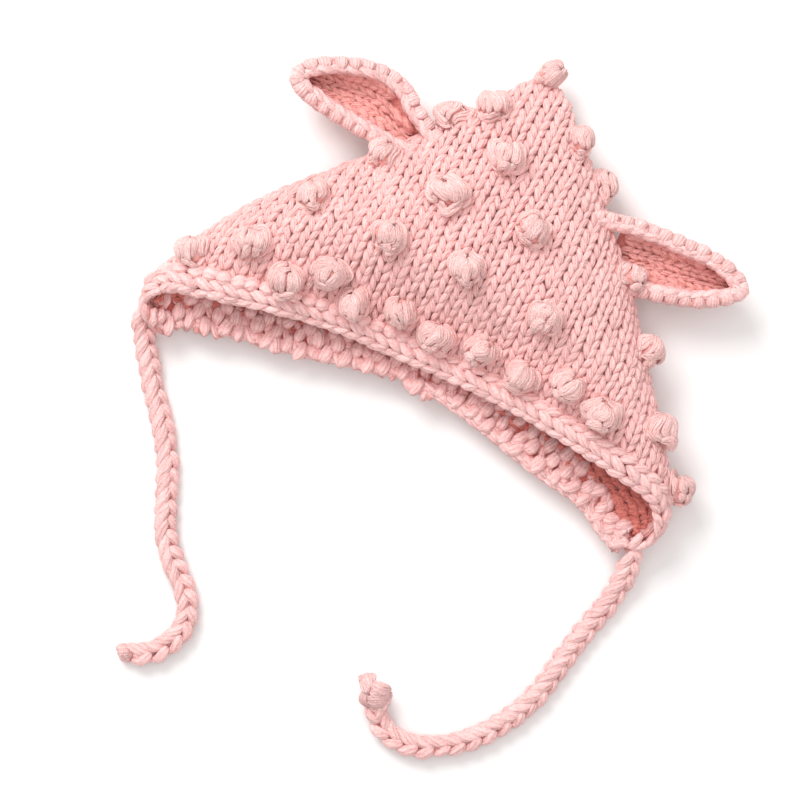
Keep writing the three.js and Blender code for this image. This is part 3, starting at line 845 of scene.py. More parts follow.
def mesh_object(
    name: str,
    points: np.ndarray,
    corners: np.ndarray,
    totals: np.ndarray,
    uvs: np.ndarray | None = None,
    attributes: dict[str, np.ndarray] | None = None,
) -> bpy.types.Object:
    """Makes a smooth mesh object at the origin.

    Args:
        name: the piece's name.
        points: its points, in metres.
        corners: the point of each face's corner, face after face.
        totals: how many corners each face has.
        uvs: the UV map, a pair for each corner.
        attributes: numbers for each point.

    Returns:
        The new object.
    """
    mesh = bpy.data.meshes.new(name)
    mesh.vertices.add(len(points))
    mesh.vertices.foreach_set("co", points.astype(np.float32).ravel())
    mesh.loops.add(len(corners))
    mesh.loops.foreach_set("vertex_index", corners.astype(np.int32))
    mesh.polygons.add(len(totals))
    starts = np.concatenate([[0], np.cumsum(totals)[:-1]])
    mesh.polygons.foreach_set("loop_start", starts.astype(np.int32))
    mesh.update(calc_edges=True)
    if uvs is not None:
        layer = mesh.uv_layers.new(name="strand")
        layer.data.foreach_set("uv", uvs.astype(np.float32).ravel())
    for key, values in (attributes or {}).items():
        attribute = mesh.attributes.new(key, "FLOAT", "POINT")
        attribute.data.foreach_set("value", values.astype(np.float32))
    mesh.polygons.foreach_set("use_smooth", np.ones(len(totals), bool))
    mesh.validate()
    piece = bpy.data.objects.new(name, mesh)
    bpy.context.scene.collection.objects.link(piece)
    return piece


def dress(piece: bpy.types.Object, nodes: Iterable[str]) -> None:
    """Makes a piece ride on the hat and stand for solids."""
    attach(piece, "root")
    nodes = list(nodes)
    if nodes:
        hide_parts(*nodes)
    count = sum(len(face.vertices) - 2 for face in piece.data.polygons)
    log.info("%s: %d triangles, stands for %s", piece.name, count, nodes or "nothing of its own")


def grid_object(
    name: str, outer: np.ndarray, inner: np.ndarray, round_it: bool, shift: np.ndarray
) -> bpy.types.Object:
    """Makes a thin closed wall between two sheets of points.

    Args:
        name: the piece's name.
        outer: rows and columns of points of the outer side.
        inner: the same for the inner side.
        round_it: whether the last column joins the first.
        shift: from the hat's own middle to the frame's origin.

    Returns:
        The new object.
    """
    rows, columns = outer.shape[:2]
    index = np.arange(rows * columns).reshape(rows, columns)
    other = index + rows * columns
    last = columns if round_it else columns - 1
    faces = []
    for j in range(last):
        k = (j + 1) % columns
        for i in range(rows - 1):
            faces.append((index[i, j], index[i, k], index[i + 1, k], index[i + 1, j]))
            faces.append((other[i, j], other[i + 1, j], other[i + 1, k], other[i, k]))
        faces.append((index[0, k], index[0, j], other[0, j], other[0, k]))
        faces.append((index[-1, j], index[-1, k], other[-1, k], other[-1, j]))
    if not round_it:
        for i in range(rows - 1):
            faces.append((index[i, 0], index[i + 1, 0], other[i + 1, 0], other[i, 0]))
            faces.append((index[i + 1, -1], index[i, -1], other[i, -1], other[i + 1, -1]))
    points = (np.concatenate([outer.reshape(-1, 3), inner.reshape(-1, 3)]) + shift) * MM
    corners = np.array(faces).ravel()
    # The wall is painted partway to the shade colour, as the shade behind the stitches in front of it.
    flat = {"depth": np.full(len(points), 0.45), "shade": np.full(len(points), 0.5)}
    uvs = np.zeros((len(corners), 2))
    return mesh_object(name, points, corners, np.full(len(faces), 4), uvs, flat)


def stack(*parts: np.ndarray) -> np.ndarray:
    """Joins across, along and out into lines."""
    return np.stack(np.broadcast_arrays(*parts), axis=-1)


class Stitches:
    """The ways that yarn lies in a stitch, as lines in a stitch's own room."""

    def __init__(self, rng: np.random.Generator) -> None:
        """Keeps the source of the small differences between stitches."""
        self.rng = rng

    def spread(self, many: int, size: float) -> np.ndarray:
        """A small difference for each stitch."""
        return self.rng.normal(0, size, (many, 1))

    def leg(
        self, strand: Strand, u: np.ndarray, v: np.ndarray, side: float, wale: float, course: float, lift: float
    ) -> np.ndarray:
        """One leg of a knit stitch's V, which opens upwards.

        Args:
            strand: the strand that it is for.
            u: the stitch's middle across.
            v: the stitch's foot along.
            side: -1 for the left leg and 1 for the right one.
            wale: width of a stitch.
            course: height of a stitch.
            lift: how far the leg's middle stands over its ends.

        Returns:
            A line for each stitch.
        """
        t = strand.at[None, :]
        many = len(u)
        reach = 0.09 + 0.33 * smooth(t)
        lean = self.spread(many, 0.1) * course * (t - 0.5)
        across = u[:, None] + side * wale * reach + self.spread(many, 0.16) + lean
        along = v[:, None] + course * (-0.45 + (1.95 + self.spread(many, 0.08)) * t) + self.spread(many, 0.25)
        out = lift * (np.sin(math.pi * t**0.8) ** 0.9 - 0.45 - 0.5 * t) + self.spread(many, 0.2)
        return stack(across, along, out)

    def purl(
        self, strand: Strand, u: np.ndarray, v: np.ndarray, wale: float, course: float, lift: float
    ) -> np.ndarray:
        """A purl bump, an arch that lies across."""
        t = strand.at[None, :]
        many = len(u)
        across = u[:, None] + wale * 1.05 * (t - 0.5) + self.spread(many, 0.15)
        along = v[:, None] + course * 0.45 * np.sin(math.pi * t) + self.spread(many, 0.15)
        out = lift * (np.sin(math.pi * t) ** 0.8 - 0.5) + self.spread(many, 0.1)
        return stack(across, along, out)

    def bead(
        self, strand: Strand, u: np.ndarray, v: np.ndarray, length: float, lift: float, lean: float | np.ndarray = 0.0
    ) -> np.ndarray:
        """A plump purl bead that lies across an edge.

        Args:
            strand: the strand that it is for.
            u: the bead's middle across.
            v: the bead's middle along.
            length: length of the bead, across.
            lift: how far the bead's middle stands over its ends.
            lean: how far its far end lies further along than its near one.

        Returns:
            A line for each bead.
        """
        t = strand.at[None, :] - 0.5
        many = len(u)
        across = u[:, None] + length * t + self.spread(many, 0.35)
        along = v[:, None] + (lean + self.spread(many, 0.7)) * t + self.spread(many, 0.3)
        out = lift * (np.cos(math.pi * t) ** 0.7 - 0.5) + self.spread(many, 0.2)
        return stack(across, along, out)

    def bar(
        self, strand: Strand, u: np.ndarray, v: np.ndarray, length: float, lift: float, lean: float = 0.0
    ) -> np.ndarray:
        """A short plump strand that lies across an edge."""
        t = strand.at[None, :] - 0.5
        many = len(u)
        across = u[:, None] + length * t + self.spread(many, 0.15)
        along = v[:, None] + lean * t + self.spread(many, 0.15)
        out = lift * (np.cos(math.pi * t) ** 0.8 - 0.5) + self.spread(many, 0.12)
        return stack(across, along, out)


# The bonnet's pieces


@dataclass
class Crown:
    """The knitted cloth body: stocking stitch outside and purl bumps inside, on a thin lining."""

    form: HatForm
    ground: ClothGround
    shift: np.ndarray
    yarn: bpy.types.Material
    inside_yarn: bpy.types.Material
    wale: float = 6.3
    course: float = 3.9
    radius: float = 1.42
    lift: float = 1.6
    lean: float = 0.08
    face_tuck: float = 2.5
    neck_tuck: float = 8.3
    inside_reach: float = 52.0
    pieces: list[bpy.types.Object] = field(default_factory=list)

    def tuck(self, angle: np.ndarray) -> np.ndarray:
        """From the mouth's middle line to the cloth's edge, inside the face band or past the neck band."""
        under = smooth((-np.sin(np.radians(angle)) - 0.15) / 0.25)
        return self.face_tuck + (self.neck_tuck - self.face_tuck) * under

    def grid(self, start: float, offset: bool = False) -> tuple[np.ndarray, np.ndarray]:
        """The stitches' middles over the whole cloth, rows of them from start up."""
        rows = np.arange(start, self.form.height - 1.5, self.course)
        across = np.arange(-44, 45) * self.wale
        u, v = np.meshgrid(across, rows)
        u = u + self.lean * (v - 60)
        if offset:
            u = u + self.wale / 2 * (np.arange(len(rows)) % 2)[:, None]
        u = u + 0.5 * np.sin(v / 19 + u / 31) + 0.4 * np.sin(v / 7.3 - u / 13)
        v = v + 0.5 * np.sin(u / 23) + 0.35 * np.sin(u / 9 + v / 15)
        return u.ravel(), v.ravel()

    def build(self) -> bpy.types.Object:
        """Makes the lining and all the stitches.

        Returns:
            The lining.
        """
        lining = self.build_lining()
        self.build_outside()
        self.build_inside()
        return lining

    def build_lining(self) -> bpy.types.Object:
        """The thin cloth behind the stitches, open at the mouth and closed at the peak."""
        angles = np.linspace(0, 360, 144, endpoint=False)[None, :]
        share = np.linspace(0, 1, 46)[:, None]
        start = self.form.mouth_line(angles) + self.tuck(angles) - 1.0
        y = start + (self.form.height - 1.0 - start) * share
        fade = 1 - smooth((share - 0.8) / 0.2)
        outer = self.form.cloth(angles, y, -1.2)
        inner = self.form.cloth(angles, y, -1.2 - 0.3 - 2.0 * fade)
        lining = grid_object("crown_lining", outer, inner, True, self.shift)
        close_ends(lining)
        lining.data.materials.append(self.yarn)
        dress(lining, ["crown"])
        return lining

    def build_outside(self) -> None:
        """Stocking stitch over the front and the back."""
        u, v = self.grid(-20)
        angle = self.ground.angle_at(u, v)
        room = self.ground.half_round(u, v)
        kept = (np.abs(u) < room - 1.2) & (v > self.form.mouth_line(angle) + self.tuck(angle) - 4.5)
        u, v, angle = u[kept], v[kept], angle[kept]
        front = np.sin(np.radians(angle)) > -0.12
        fine, plain = Strand(10, 9), Strand(8, 7)
        for name, part, strand in (
            ("crown_front_left", front & (u < 0), fine),
            ("crown_front_right", front & (u >= 0), fine),
            ("crown_back_left", ~front & (u < 0), plain),
            ("crown_back_right", ~front & (u >= 0), plain),
        ):
            mesh = YarnMesh(name)
            ways = Stitches(mesh.rng)
            size = self.radius * (1 + mesh.rng.normal(0, 0.05, int(part.sum())))
            for side in (-1.0, 1.0):
                lines = ways.leg(strand, u[part], v[part], side, self.wale, self.course, self.lift)
                past = lines[..., 1] - self.form.mouth_line(angle[part])[:, None]
                lines[..., 2] -= 1.5 * (1 - smooth((past - 2) / 10))
                mesh.lay(strand, self.ground, lines, size, (-1.7, 0.7))
            self.pieces.append(mesh.finish(self.shift, self.yarn, []))

    def build_inside(self) -> None:
        """Purl bumps on the inner walls, as far in as the mouth shows, in a darker yarn as painted shade inside the
        hat.
        """
        u, v = self.grid(-20, offset=True)
        angle = self.ground.angle_at(u, v)
        room = self.ground.half_round(u, v)
        line = self.form.mouth_line(angle)
        kept = (np.abs(u) < room - 2) & (v > line + 0.8) & (v < line + self.inside_reach)
        u, v = np.tile(u[kept], 2), np.concatenate([v[kept], v[kept] + self.course / 2])
        u[len(u) // 2 :] += self.wale * 0.4
        mesh = YarnMesh("crown_inside")
        strand = Strand(6, 6)
        ways = Stitches(mesh.rng)
        u, v = u + mesh.rng.normal(0, 0.5, len(u)), v + mesh.rng.normal(0, 0.4, len(v))
        lines = ways.purl(strand, u, v, self.wale * 0.95, self.course * 0.8, 0.6)
        lines[..., 1] += mesh.rng.normal(0, 1.0, (len(u), 1)) * (strand.at - 0.5)
        lines[..., 2] = -3.7 - lines[..., 2]
        local = strand.sweep(lines, 2.2 * (1 + mesh.rng.normal(0, 0.12, len(u))), plump=0.4)
        local[..., 2] = 0.55 * local[..., 2] - 1.8
        points = self.ground.place(local[..., 0], local[..., 1], local[..., 2])
        mesh.add(strand, points, (-local[..., 2] - 3.0) / 2.4)
        self.pieces.append(mesh.finish(self.shift, self.inside_yarn, []))


def close_ends(piece: bpy.types.Object) -> None:
    """Recalculates a closed wall's normals, so that its faces point outwards."""
    bpy.ops.object.select_all(action="DESELECT")
    piece.select_set(True)
    bpy.context.view_layer.objects.active = piece
    bpy.ops.object.mode_set(mode="EDIT")
    bpy.ops.mesh.select_all(action="SELECT")
    bpy.ops.mesh.normals_make_consistent(inside=False)
    bpy.ops.object.mode_set(mode="OBJECT")


@dataclass
class FaceBand:
    """The thick edging round the face: a chain along its edge and a row of short bumps."""

    form: HatForm
    shift: np.ndarray
    yarn: bpy.types.Material
    start: float = -19.0
    end: float = 187.0
    width: float = 10.5
    thickness: float = 8.0
    pitch: float = 5.7

    def ground(self, start: float, end: float) -> LineGround:
        """The band's middle line and its outward directions, between two angles."""
        angles = np.linspace(start, end, 200)
        line = self.form.mouth_line(angles)
        points = self.form.cloth(angles, line, -self.form.wall / 2)
        return LineGround(
            points, self.form.outward(angles, line), self.width / 2 - 1.2, self.thickness / 2 - 1.2
        )

    def build(self) -> bpy.types.Object:
        """Lays the chain, the bumps and the core."""
        mesh = YarnMesh("face_band_yarn")
        ways = Stitches(mesh.rng)
        ground = self.ground(self.start, self.end)
        lay_core(mesh, ground, 0.5)
        lay_chain(mesh, ways, ground, self.pitch, 2.2, 1.65, 2.7, 1.75)
        inner = self.ground(self.start + 60, self.end - 20)
        lay_chain(mesh, ways, inner, self.pitch, 6.8, 1.6, 2.4, 1.75)
        lay_chain(mesh, ways, self.ground(self.start, self.start + 12), self.pitch, 6.6, 1.6, 2.4, 1.75)
        across = self.width - 2.4
        count = int(ground.length / self.pitch)
        v = (np.arange(count) + 0.5) * ground.length / count
        strand = Strand(10, 9)
        left = smooth((v / ground.length - 0.35) / 0.3)
        t = strand.at[None, :] - 0.5
        left, place = left[:, None], v[:, None]
        over = -2.7 + (1.0 + 2.4 * (1 - left) + ways.spread(count, 0.4)) * t + ways.spread(count, 0.2)
        along = place + (8.6 - 2.2 * left) * t + ways.spread(count, 0.3)
        along = np.clip(along, -2, ground.length + 0.01 * along)
        out = 0.4 * left + 1.5 * (np.cos(math.pi * t) ** 0.7 - 0.4) + ways.spread(count, 0.15)
        size = (1.7 + 0.65 * left[:, 0]) * (1 + mesh.rng.normal(0, 0.06, count))
        mesh.lay(strand, ground, stack(over, along, out), size, (-1.0, 1.6), 0.6, plump=0.45)
        plain = Strand(8, 6)
        for middle, offset in ((across + 1.6, 0.5), (-across + 0.8, 0.5)):
            lines = ways.bar(plain, np.full(count, middle), v + offset * self.pitch, 4.6, 1.3)
            lines = lines[v < inner.length - 4]
            mesh.lay(plain, inner, lines, np.full(len(lines), 2.1), (-1.2, 1.4))
        return mesh.finish(self.shift, self.yarn, ["face_band"])


def lay_core(mesh: YarnMesh, ground: LineGround, sink: float, level: float = 0.3) -> None:
    """Fills an edge with a round core, so that nothing shows through between its strands; the core's colour is set
    toward the painted shade colour, as the shade in the gaps between them.

    Args:
        mesh: the mesh that takes it.
        ground: the edge.
        sink: how far the core's surface lies below the edge's.
        level: how pale the core is, from 0 for the full painted shade colour to 1 for none.
    """
    strand = Strand(12, 64)
    t = strand.at
    line = ground._read(ground.points, t * ground.length)[None]
    out = ground._read(ground.out, t * ground.length)[None]
    radius = min(ground.half_width, ground.half_thickness) - sink
    points = strand.sweep(line, np.array([radius]), out, plump=0.2)
    mesh.add(strand, points, np.full(points.shape[:2], level))


def lay_chain(
    mesh: YarnMesh,
    ways: Stitches,
    ground: LineGround,
    pitch: float,
    middle: float,
    radius: float,
    reach: float,
    length: float = 1.7,
) -> None:
    """Lays a chain of Vs along an edge, which point to its start.

    Args:
        mesh: the mesh that takes it.
        ways: the ways that yarn lies.
        ground: the edge.
        pitch: from one V to the next.
        middle: the chain's middle line, round the edge's section.
        radius: the yarn's radius.
        reach: how far a leg reaches from the middle line.
        length: a leg's length in pitches.
    """
    strand = Strand(10, 10)
    t = strand.at[None, :]
    count = int(ground.length / pitch)
    foot = (np.arange(count) + 0.5) * ground.length / count
    for side in (-1.0, 1.0):
        across = middle + side * (0.5 + (reach - 0.5) * smooth(t)) + ways.spread(count, 0.18)
        along = foot[:, None] + pitch * (-0.5 + length * t) + ways.spread(count, 0.3)
        along = np.clip(along, -2, ground.length + 0.01 * along)
        out = -0.9 + 1.5 * np.sin(math.pi * t) ** 0.8 + ways.spread(count, 0.15)
        size = radius * (1 + mesh.rng.normal(0, 0.05, count))
        mesh.lay(strand, ground, stack(across, along, out), size, (-1.2, 1.4))


@dataclass
class NeckBand:
    """The seed stitch border at the neck, whose plump beads lie row beside row."""

    form: HatForm
    shift: np.ndarray
    yarn: bpy.types.Material
    lining_yarn: bpy.types.Material
    start: float = 184.0
    end: float = 343.0
    width: float = 16.0
    thickness: float = 5.5
    curl: float = 3.5
    pitch: float = 8.2
    rows: tuple[float, ...] = (4.3, -0.7, -5.6)
    corner: float = 46.0
    seam: float = 265.0

    def ground(self) -> LineGround:
        """The border's middle line and its outward directions."""
        angles = np.linspace(self.start, self.end, 160)
        line = self.form.mouth_line(angles)
        points = self.form.cloth(angles, line, -self.form.wall / 2)
        outs = self.form.outward(angles, line)
        return LineGround(points, outs, self.width / 2, self.thickness / 2, True, -self.curl)

    def build(self) -> bpy.types.Object:
        """Lays the beads on both faces, and the edge's core."""
        ground = self.ground()
        mesh = YarnMesh("neck_band_yarn")
        mesh.phase = np.array([0.4, 2.1, 4.0])
        ways = Stitches(mesh.rng)
        count = int(ground.length / self.pitch)
        for face, strand, lift in ((-1.0, Strand(12, 9), 2.8), (1.0, Strand(8, 6), 1.6)):
            for i, row in enumerate(self.rows):
                v = (np.arange(count) + 0.4 + 0.5 * (i % 2)) * ground.length / (count + 0.3)
                v = v + mesh.rng.normal(0, 0.7, count)
                across = row + mesh.rng.normal(0, 0.55, count)
                across = np.where(across < 0, across * (1 - 0.8 * self.near_corner(ground, v)), across)
                across = across + self.notch(ground, v) * (0.4 + 0.15 * row)
                across = across - 1.1 * (row > 0) * self.right_of_seam(ground, v)
                across = across + 1.4 * self.near_corner(ground, v)
                across = across - 2.3 * self.drawn_in(ground, v)
                for apart, thick, low, lean in ((0.0, 2.65, 0.0, -1.2), (4.1, 2.0, 1.3, 3.0)):
                    turned = lean + mesh.rng.normal(0, 1.3, (count, 1))
                    lines = ways.bead(strand, across, v + apart, 7.2, lift, turned)
                    lines[..., 2] = face * (0.9 - low + lines[..., 2])
                    lines = lines[v + apart < ground.length - 0.5]
                    size = thick * (1 + mesh.rng.normal(0, 0.11, len(lines)))
                    local = strand.sweep(lines, size, plump=0.42)
                    local = local + 0.4 * np.sin(local[..., [1, 2, 0]] * 1.35 + mesh.phase)
                    points = ground.place(local[..., 0], local[..., 1], local[..., 2])
                    # Painted shade: the inner rows, in the face band's shadow, are painted darker, less so near the
                    # right corner.
                    inside = (row < 0) * 0.35 * (1 - self.near_corner(ground, v))
                    depth = (face * local[..., 2] + 0.8) / 3.2 - inside[v + apart < ground.length - 0.5, None]
                    mesh.add(strand, points, depth, 0.5, thick / 1.5)
        self.build_edge(mesh, ways, ground)
        self.build_root(mesh, ground)
        return mesh.finish(self.shift, self.yarn, ["neck_band"])

    def build_edge(self, mesh: YarnMesh, ways: Stitches, ground: LineGround) -> None:
        """Lays the core of the free edge, and the long strands that smooth it right of the seam."""
        rope = Strand(10, 90)
        v = rope.at[None, :] * (ground.length - 5) + 4
        across = 4.6 + self.notch(ground, v) - 2.3 * self.drawn_in(ground, v)
        local = rope.sweep(stack(across, v, np.zeros(v.shape)), np.array([2.9]), plump=0.2)
        points = ground.place(local[..., 0], local[..., 1], local[..., 2])
        mesh.add(rope, points, np.full(points.shape[:2], 0.6), 40.0)
        strand = Strand(10, 10)
        t = strand.at[None, :]
        foot = np.arange(self.seam_at(ground) + 13, ground.length - 9, 5.6)[:, None]
        for row, low in ((5.1, 0.3), (6.5, -1.2)):
            across = row + 1.1 * (smooth(t) - 0.5) + ways.spread(len(foot), 0.15)
            along = foot + 10.4 * (t - 0.5) + ways.spread(len(foot), 0.4)
            across = across - 1.6 * self.drawn_in(ground, along)
            out = -low - 1.4 * np.sin(math.pi * t) ** 0.8 + ways.spread(len(foot), 0.15)
            local = strand.sweep(stack(across, along, out), np.full(len(foot), 1.9))
            points = ground.place(local[..., 0], local[..., 1], local[..., 2])
            mesh.add(strand, points, 0.6 - local[..., 2] / 4.0, 0.9, 1.2)

    def build_root(self, mesh: YarnMesh, ground: LineGround) -> None:
        """Lays the plump strands that join the border's right end to the tie."""
        strand = Strand(12, 10)
        t = strand.at[None, :]
        starts = np.array([[5.6, -15.0], [5.2, -10.5], [1.2, -9.0], [-1.6, -8.0], [4.6, -6.0]])
        stops = np.array([[5.0, -5.0], [4.4, -0.6], [0.8, 1.6], [-1.6, 2.0], [1.8, 3.4]])
        across = starts[:, :1] + (stops[:, :1] - starts[:, :1]) * t
        along = ground.length + starts[:, 1:] + (stops[:, 1:] - starts[:, 1:]) * t
        out = -1.2 - 1.2 * np.sin(math.pi * t) + 0 * across
        local = strand.sweep(stack(across, along, out), np.array([2.7, 2.6, 2.4, 2.3, 2.5]), plump=0.42)
        local = local + 0.4 * np.sin(local[..., [1, 2, 0]] * 1.35 + mesh.phase)
        points = ground.place(local[..., 0], local[..., 1], local[..., 2])
        mesh.add(strand, points, 0.3 - local[..., 2] / 4.0, 0.9, 1.7)

    def seam_at(self, ground: LineGround) -> float:
        """How far along the border its seam is."""
        angles = np.linspace(self.start, self.end, len(ground.at))
        return float(np.interp(self.seam, angles, ground.at))

    def notch(self, ground: LineGround, v: np.ndarray) -> np.ndarray:
        """How far the free edge stands out: drawn in at the seam, and bulging right of it."""
        past = v - self.seam_at(ground)
        return 3.4 * np.exp(-(((past - 6.5) / 4.5) ** 2)) - 3.0 * np.exp(-((past / 2.2) ** 2))

    def drawn_in(self, ground: LineGround, v: np.ndarray) -> np.ndarray:
        """How far the border's right end is drawn in towards the tie's root."""
        return 2.2 * smooth((v - ground.length + 14) / 14)

    def right_of_seam(self, ground: LineGround, v: np.ndarray) -> np.ndarray:
        """From 0 at the seam to 1 from 14 mm right of it."""
        return smooth((v - self.seam_at(ground)) / 14)

    def near_corner(self, ground: LineGround, v: np.ndarray) -> np.ndarray:
        """How near a place is to the right corner, where the border narrows, from 0 to 1."""
        return smooth((v - (ground.length - self.corner)) / self.corner)

    def build_lining(self) -> bpy.types.Object:
        """The thin cloth behind the border's beads, in a darker yarn as painted shade in the gaps between them."""
        ground = self.ground()
        v = np.linspace(4.0, ground.length - 13.0, 90)[:, None]
        outer_edge = self.width / 2 - 4.2 - 2.0 * (1 - smooth(v / 14)) - 1.5 * self.near_corner(ground, v)
        share = np.linspace(0, 1, 10)[None, :]
        u = -self.width / 2 - 1 + (outer_edge + self.width / 2 + 1) * share
        v = np.broadcast_to(v, u.shape)
        outer = ground.place(u, v, np.full(u.shape, 0.8))
        inner = ground.place(u, v, np.full(u.shape, -0.8))
        lining = grid_object("neck_band_lining", outer, inner, False, self.shift)
        close_ends(lining)
        lining.data.materials.append(self.lining_yarn)
        dress(lining, [])
        return lining


@dataclass
class Ear:
    """One cupped ear: its cloth, with stitches on both faces, and its rolled rim."""

    name: str
    ground: EarGround
    shift: np.ndarray
    cloth_yarn: bpy.types.Material
    rim_yarn: bpy.types.Material
    wale: float = 5.6
    course: float = 3.7
    thickness: float = 3.4

    def build(self) -> bpy.types.Object:
        """Makes the ear's pieces.

        Returns:
            Its lining.
        """
        lining = self.build_lining()
        self.build_cloth()
        self.build_rim()
        return lining

    def build_lining(self) -> bpy.types.Object:
        """The thin cloth between the two faces."""
        v = np.linspace(-0.1, 0.93, 26)[:, None] * self.ground.length
        share = np.linspace(-1, 1, 17)[None, :]
        share, v = np.broadcast_arrays(share, v)
        middle = self.ground.surface(share, v)
        lining = grid_object(
            f"ear_{self.name}_lining", middle + 0.6 * UP, middle - 0.6 * UP, False, self.shift
        )
        close_ends(lining)
        lining.data.materials.append(self.cloth_yarn)
        dress(lining, [f"ear_{self.name}"])
        return lining

    def build_cloth(self) -> None:
        """Stitches in the hollow and on the back."""
        mesh = YarnMesh(f"ear_{self.name}_stitches")
        ways = Stitches(mesh.rng)
        strand = Strand(8, 8)
        rows = np.arange(-2, self.ground.length * 0.83, self.course)
        u, v = np.meshgrid(np.arange(-3, 4) * self.wale + self.wale / 2, rows)
        u, v = u.ravel(), v.ravel()
        kept = np.abs(u) < self.ground.width_at(v) / 2 - 1.4
        u, v = u[kept], v[kept]
        for face in (1.0, -1.0):
            for side in (-1.0, 1.0):
                lines = ways.leg(strand, u, v, side, self.wale, self.course, 1.8)
                lines[..., 0] += ways.spread(len(u), 0.5) * (strand.at - 0.3)
                lines[..., 2] = face * (0.9 + lines[..., 2])
                local = strand.sweep(lines, 1.5 * (1 + mesh.rng.normal(0, 0.12, len(u))))
                points = self.ground.place(local[..., 0], local[..., 1], local[..., 2])
                # Painted shade: the hollow face is painted darker towards the tip, and the back face paler.
                towards_tip = smooth((local[..., 1] / self.ground.length - 0.2) / 0.8) if face > 0 else -0.6
                mesh.add(strand, points, (face * local[..., 2] + 0.3) / 2.4 - 0.4 * towards_tip)
        mesh.finish(self.shift, self.cloth_yarn, [])

    def build_rim(self) -> None:
        """A chain and rows of short bumps round the rim."""
        line = curve_through(self.ground.rim_line(), 160)
        radius = self.ground.rim_radius
        outs = np.broadcast_to(UP, line.shape)
        ground = LineGround(line, outs, radius - 1.8, radius - 1.8)
        mesh = YarnMesh(f"ear_{self.name}_rim")
        ways = Stitches(mesh.rng)
        outside = self.ground.side
        lay_core(mesh, ground, -0.6, 0.6)
        lay_chain(mesh, ways, ground, 5.6, outside * -5.4, 1.6, 2.4, 1.75)
        strand = Strand(10, 10)
        t = strand.at[None, :]
        count = int(ground.length / 5.5)
        v = (np.arange(count) + 0.5) * ground.length / count
        lines = ways.bead(strand, np.full(count, outside * -1.7), v, 5.8, 1.0, outside * 1.8)
        local = strand.sweep(lines, 3.0 * (1 + mesh.rng.normal(0, 0.05, count)), plump=0.4)
        local[..., 2] = 0.3 + 0.55 * local[..., 2]
        points = ground.place(local[..., 0], local[..., 1], local[..., 2])
        mesh.add(strand, points, (local[..., 2] - 0.2) / 1.5, 0.7, 2)
        for near, far, sink in ((0.7, 2.2, 0.0), (2.6, 4.2, 0.2)):
            across = outside * (near + (far - near) * smooth(t)) + ways.spread(count, 0.2)
            along = v[:, None] + 5.5 * (-1.0 + 2.1 * t) + ways.spread(count, 0.4)
            out = -0.5 - sink + 1.0 * np.sin(math.pi * t) ** 0.7 + ways.spread(count, 0.15)
            mesh.lay(strand, ground, stack(across, along, out), np.full(count, 1.7), (-1.4, 1.0), 0.8)
        mesh.finish(self.shift, self.rim_yarn, [f"ear_rim_{self.name}"])


def curve_through(points: np.ndarray, count: int) -> np.ndarray:
    """A smooth line through points.

    Args:
        points: the points, in order.
        count: how many points the line gets.

    Returns:
        The line's points.
    """
    slope = np.empty_like(points)
    slope[1:-1] = (points[2:] - points[:-2]) / 2
    slope[0] = points[1] - points[0]
    slope[-1] = points[-1] - points[-2]
    at = np.linspace(0, len(points) - 1, count)
    i = np.minimum(at.astype(int), len(points) - 2)
    t = (at - i)[:, None]
    return (
        (2 * t**3 - 3 * t**2 + 1) * points[i]
        + (t**3 - 2 * t**2 + t) * slope[i]
        + (3 * t**2 - 2 * t**3) * points[i + 1]
        + (t**3 - t**2) * slope[i + 1]
    )


def add_on_ball(
    mesh: YarnMesh, strand: Strand, ground: BallGround, local: np.ndarray, size: float, level: float | None = None
) -> None:
    """Adds strands of a ball, painted darker towards its middle as the shade between strands, with the ball's own
    lumps.

    Args:
        mesh: the mesh that takes them.
        strand: the strand that the points belong to.
        ground: the ball.
        local: points in the ball's own room.
        size: the ball's radius.
        level: how pale they are, where that isn't read from how far out they lie; lower is more painted shade.
    """
    far = np.linalg.norm(local, axis=-1) / size
    depth = np.full(far.shape, level) if level is not None else (far - 0.61) / 0.23
    turned, other = local[..., [1, 2, 0]], local[..., [2, 0, 1]]
    wave = np.sin(turned * 0.42 + mesh.phase) + 0.6 * np.sin(other * 0.8 - mesh.phase)
    local = local + 0.5 * wave
    points = ground.place(local[..., 0], local[..., 1], local[..., 2])
    mesh.add(strand, points, depth, 1.3)


def lay_winding(
    mesh: YarnMesh, ground: BallGround, winding: np.ndarray, size: float, yarn: float, side: float = 1.0
) -> None:
    """Lays strands over one face of a ball, the later ones over the earlier ones.

    Args:
        mesh: the mesh that takes them.
        ground: the ball.
        winding: four places for each strand, as shares of the ball's radius.
        size: the ball's radius.
        yarn: the yarn's radius.
        side: 1 for the face that stands out, -1 for the one behind, less to flatten it.
    """
    strand = Strand(8, 12)
    reach = size - 0.6 * yarn
    bulge = np.sin(math.pi * strand.at) ** 0.6
    for points, higher in zip(winding, np.linspace(-0.9, 0.7, len(winding))):
        flat = curve_through(np.array(points), len(strand.at)) * reach
        step = np.gradient(flat, axis=0)
        across = unit(np.stack([-step[:, 1], step[:, 0]], axis=-1))
        fat = mesh.rng.uniform(0.85, 1.25)
        for apart in (-fat, 0.0, fat):
            moved = flat + across * (apart * 0.46 * yarn * bulge)[:, None]
            far = np.sum(moved**2, axis=-1)
            out = np.sqrt(np.maximum(0.02 * reach**2, reach**2 - far)) + higher - 0.15 * abs(apart)
            lines = np.concatenate([moved, out[:, None] * side], axis=1)[None]
            thick = 0.58 * yarn * fat * mesh.rng.uniform(0.92, 1.1)
            local = strand.sweep(lines, np.array([thick]), unit(lines + np.array([0, 0, 1e-3])), plump=0.5)
            add_on_ball(mesh, strand, ground, local, size)


class BobblePlace(Enum):
    """Where a bobble sits, which sets how it lies."""

    FRONT = "bobble_"
    BACK = "back_bobble_"
    PEAK = "bobble_peak"


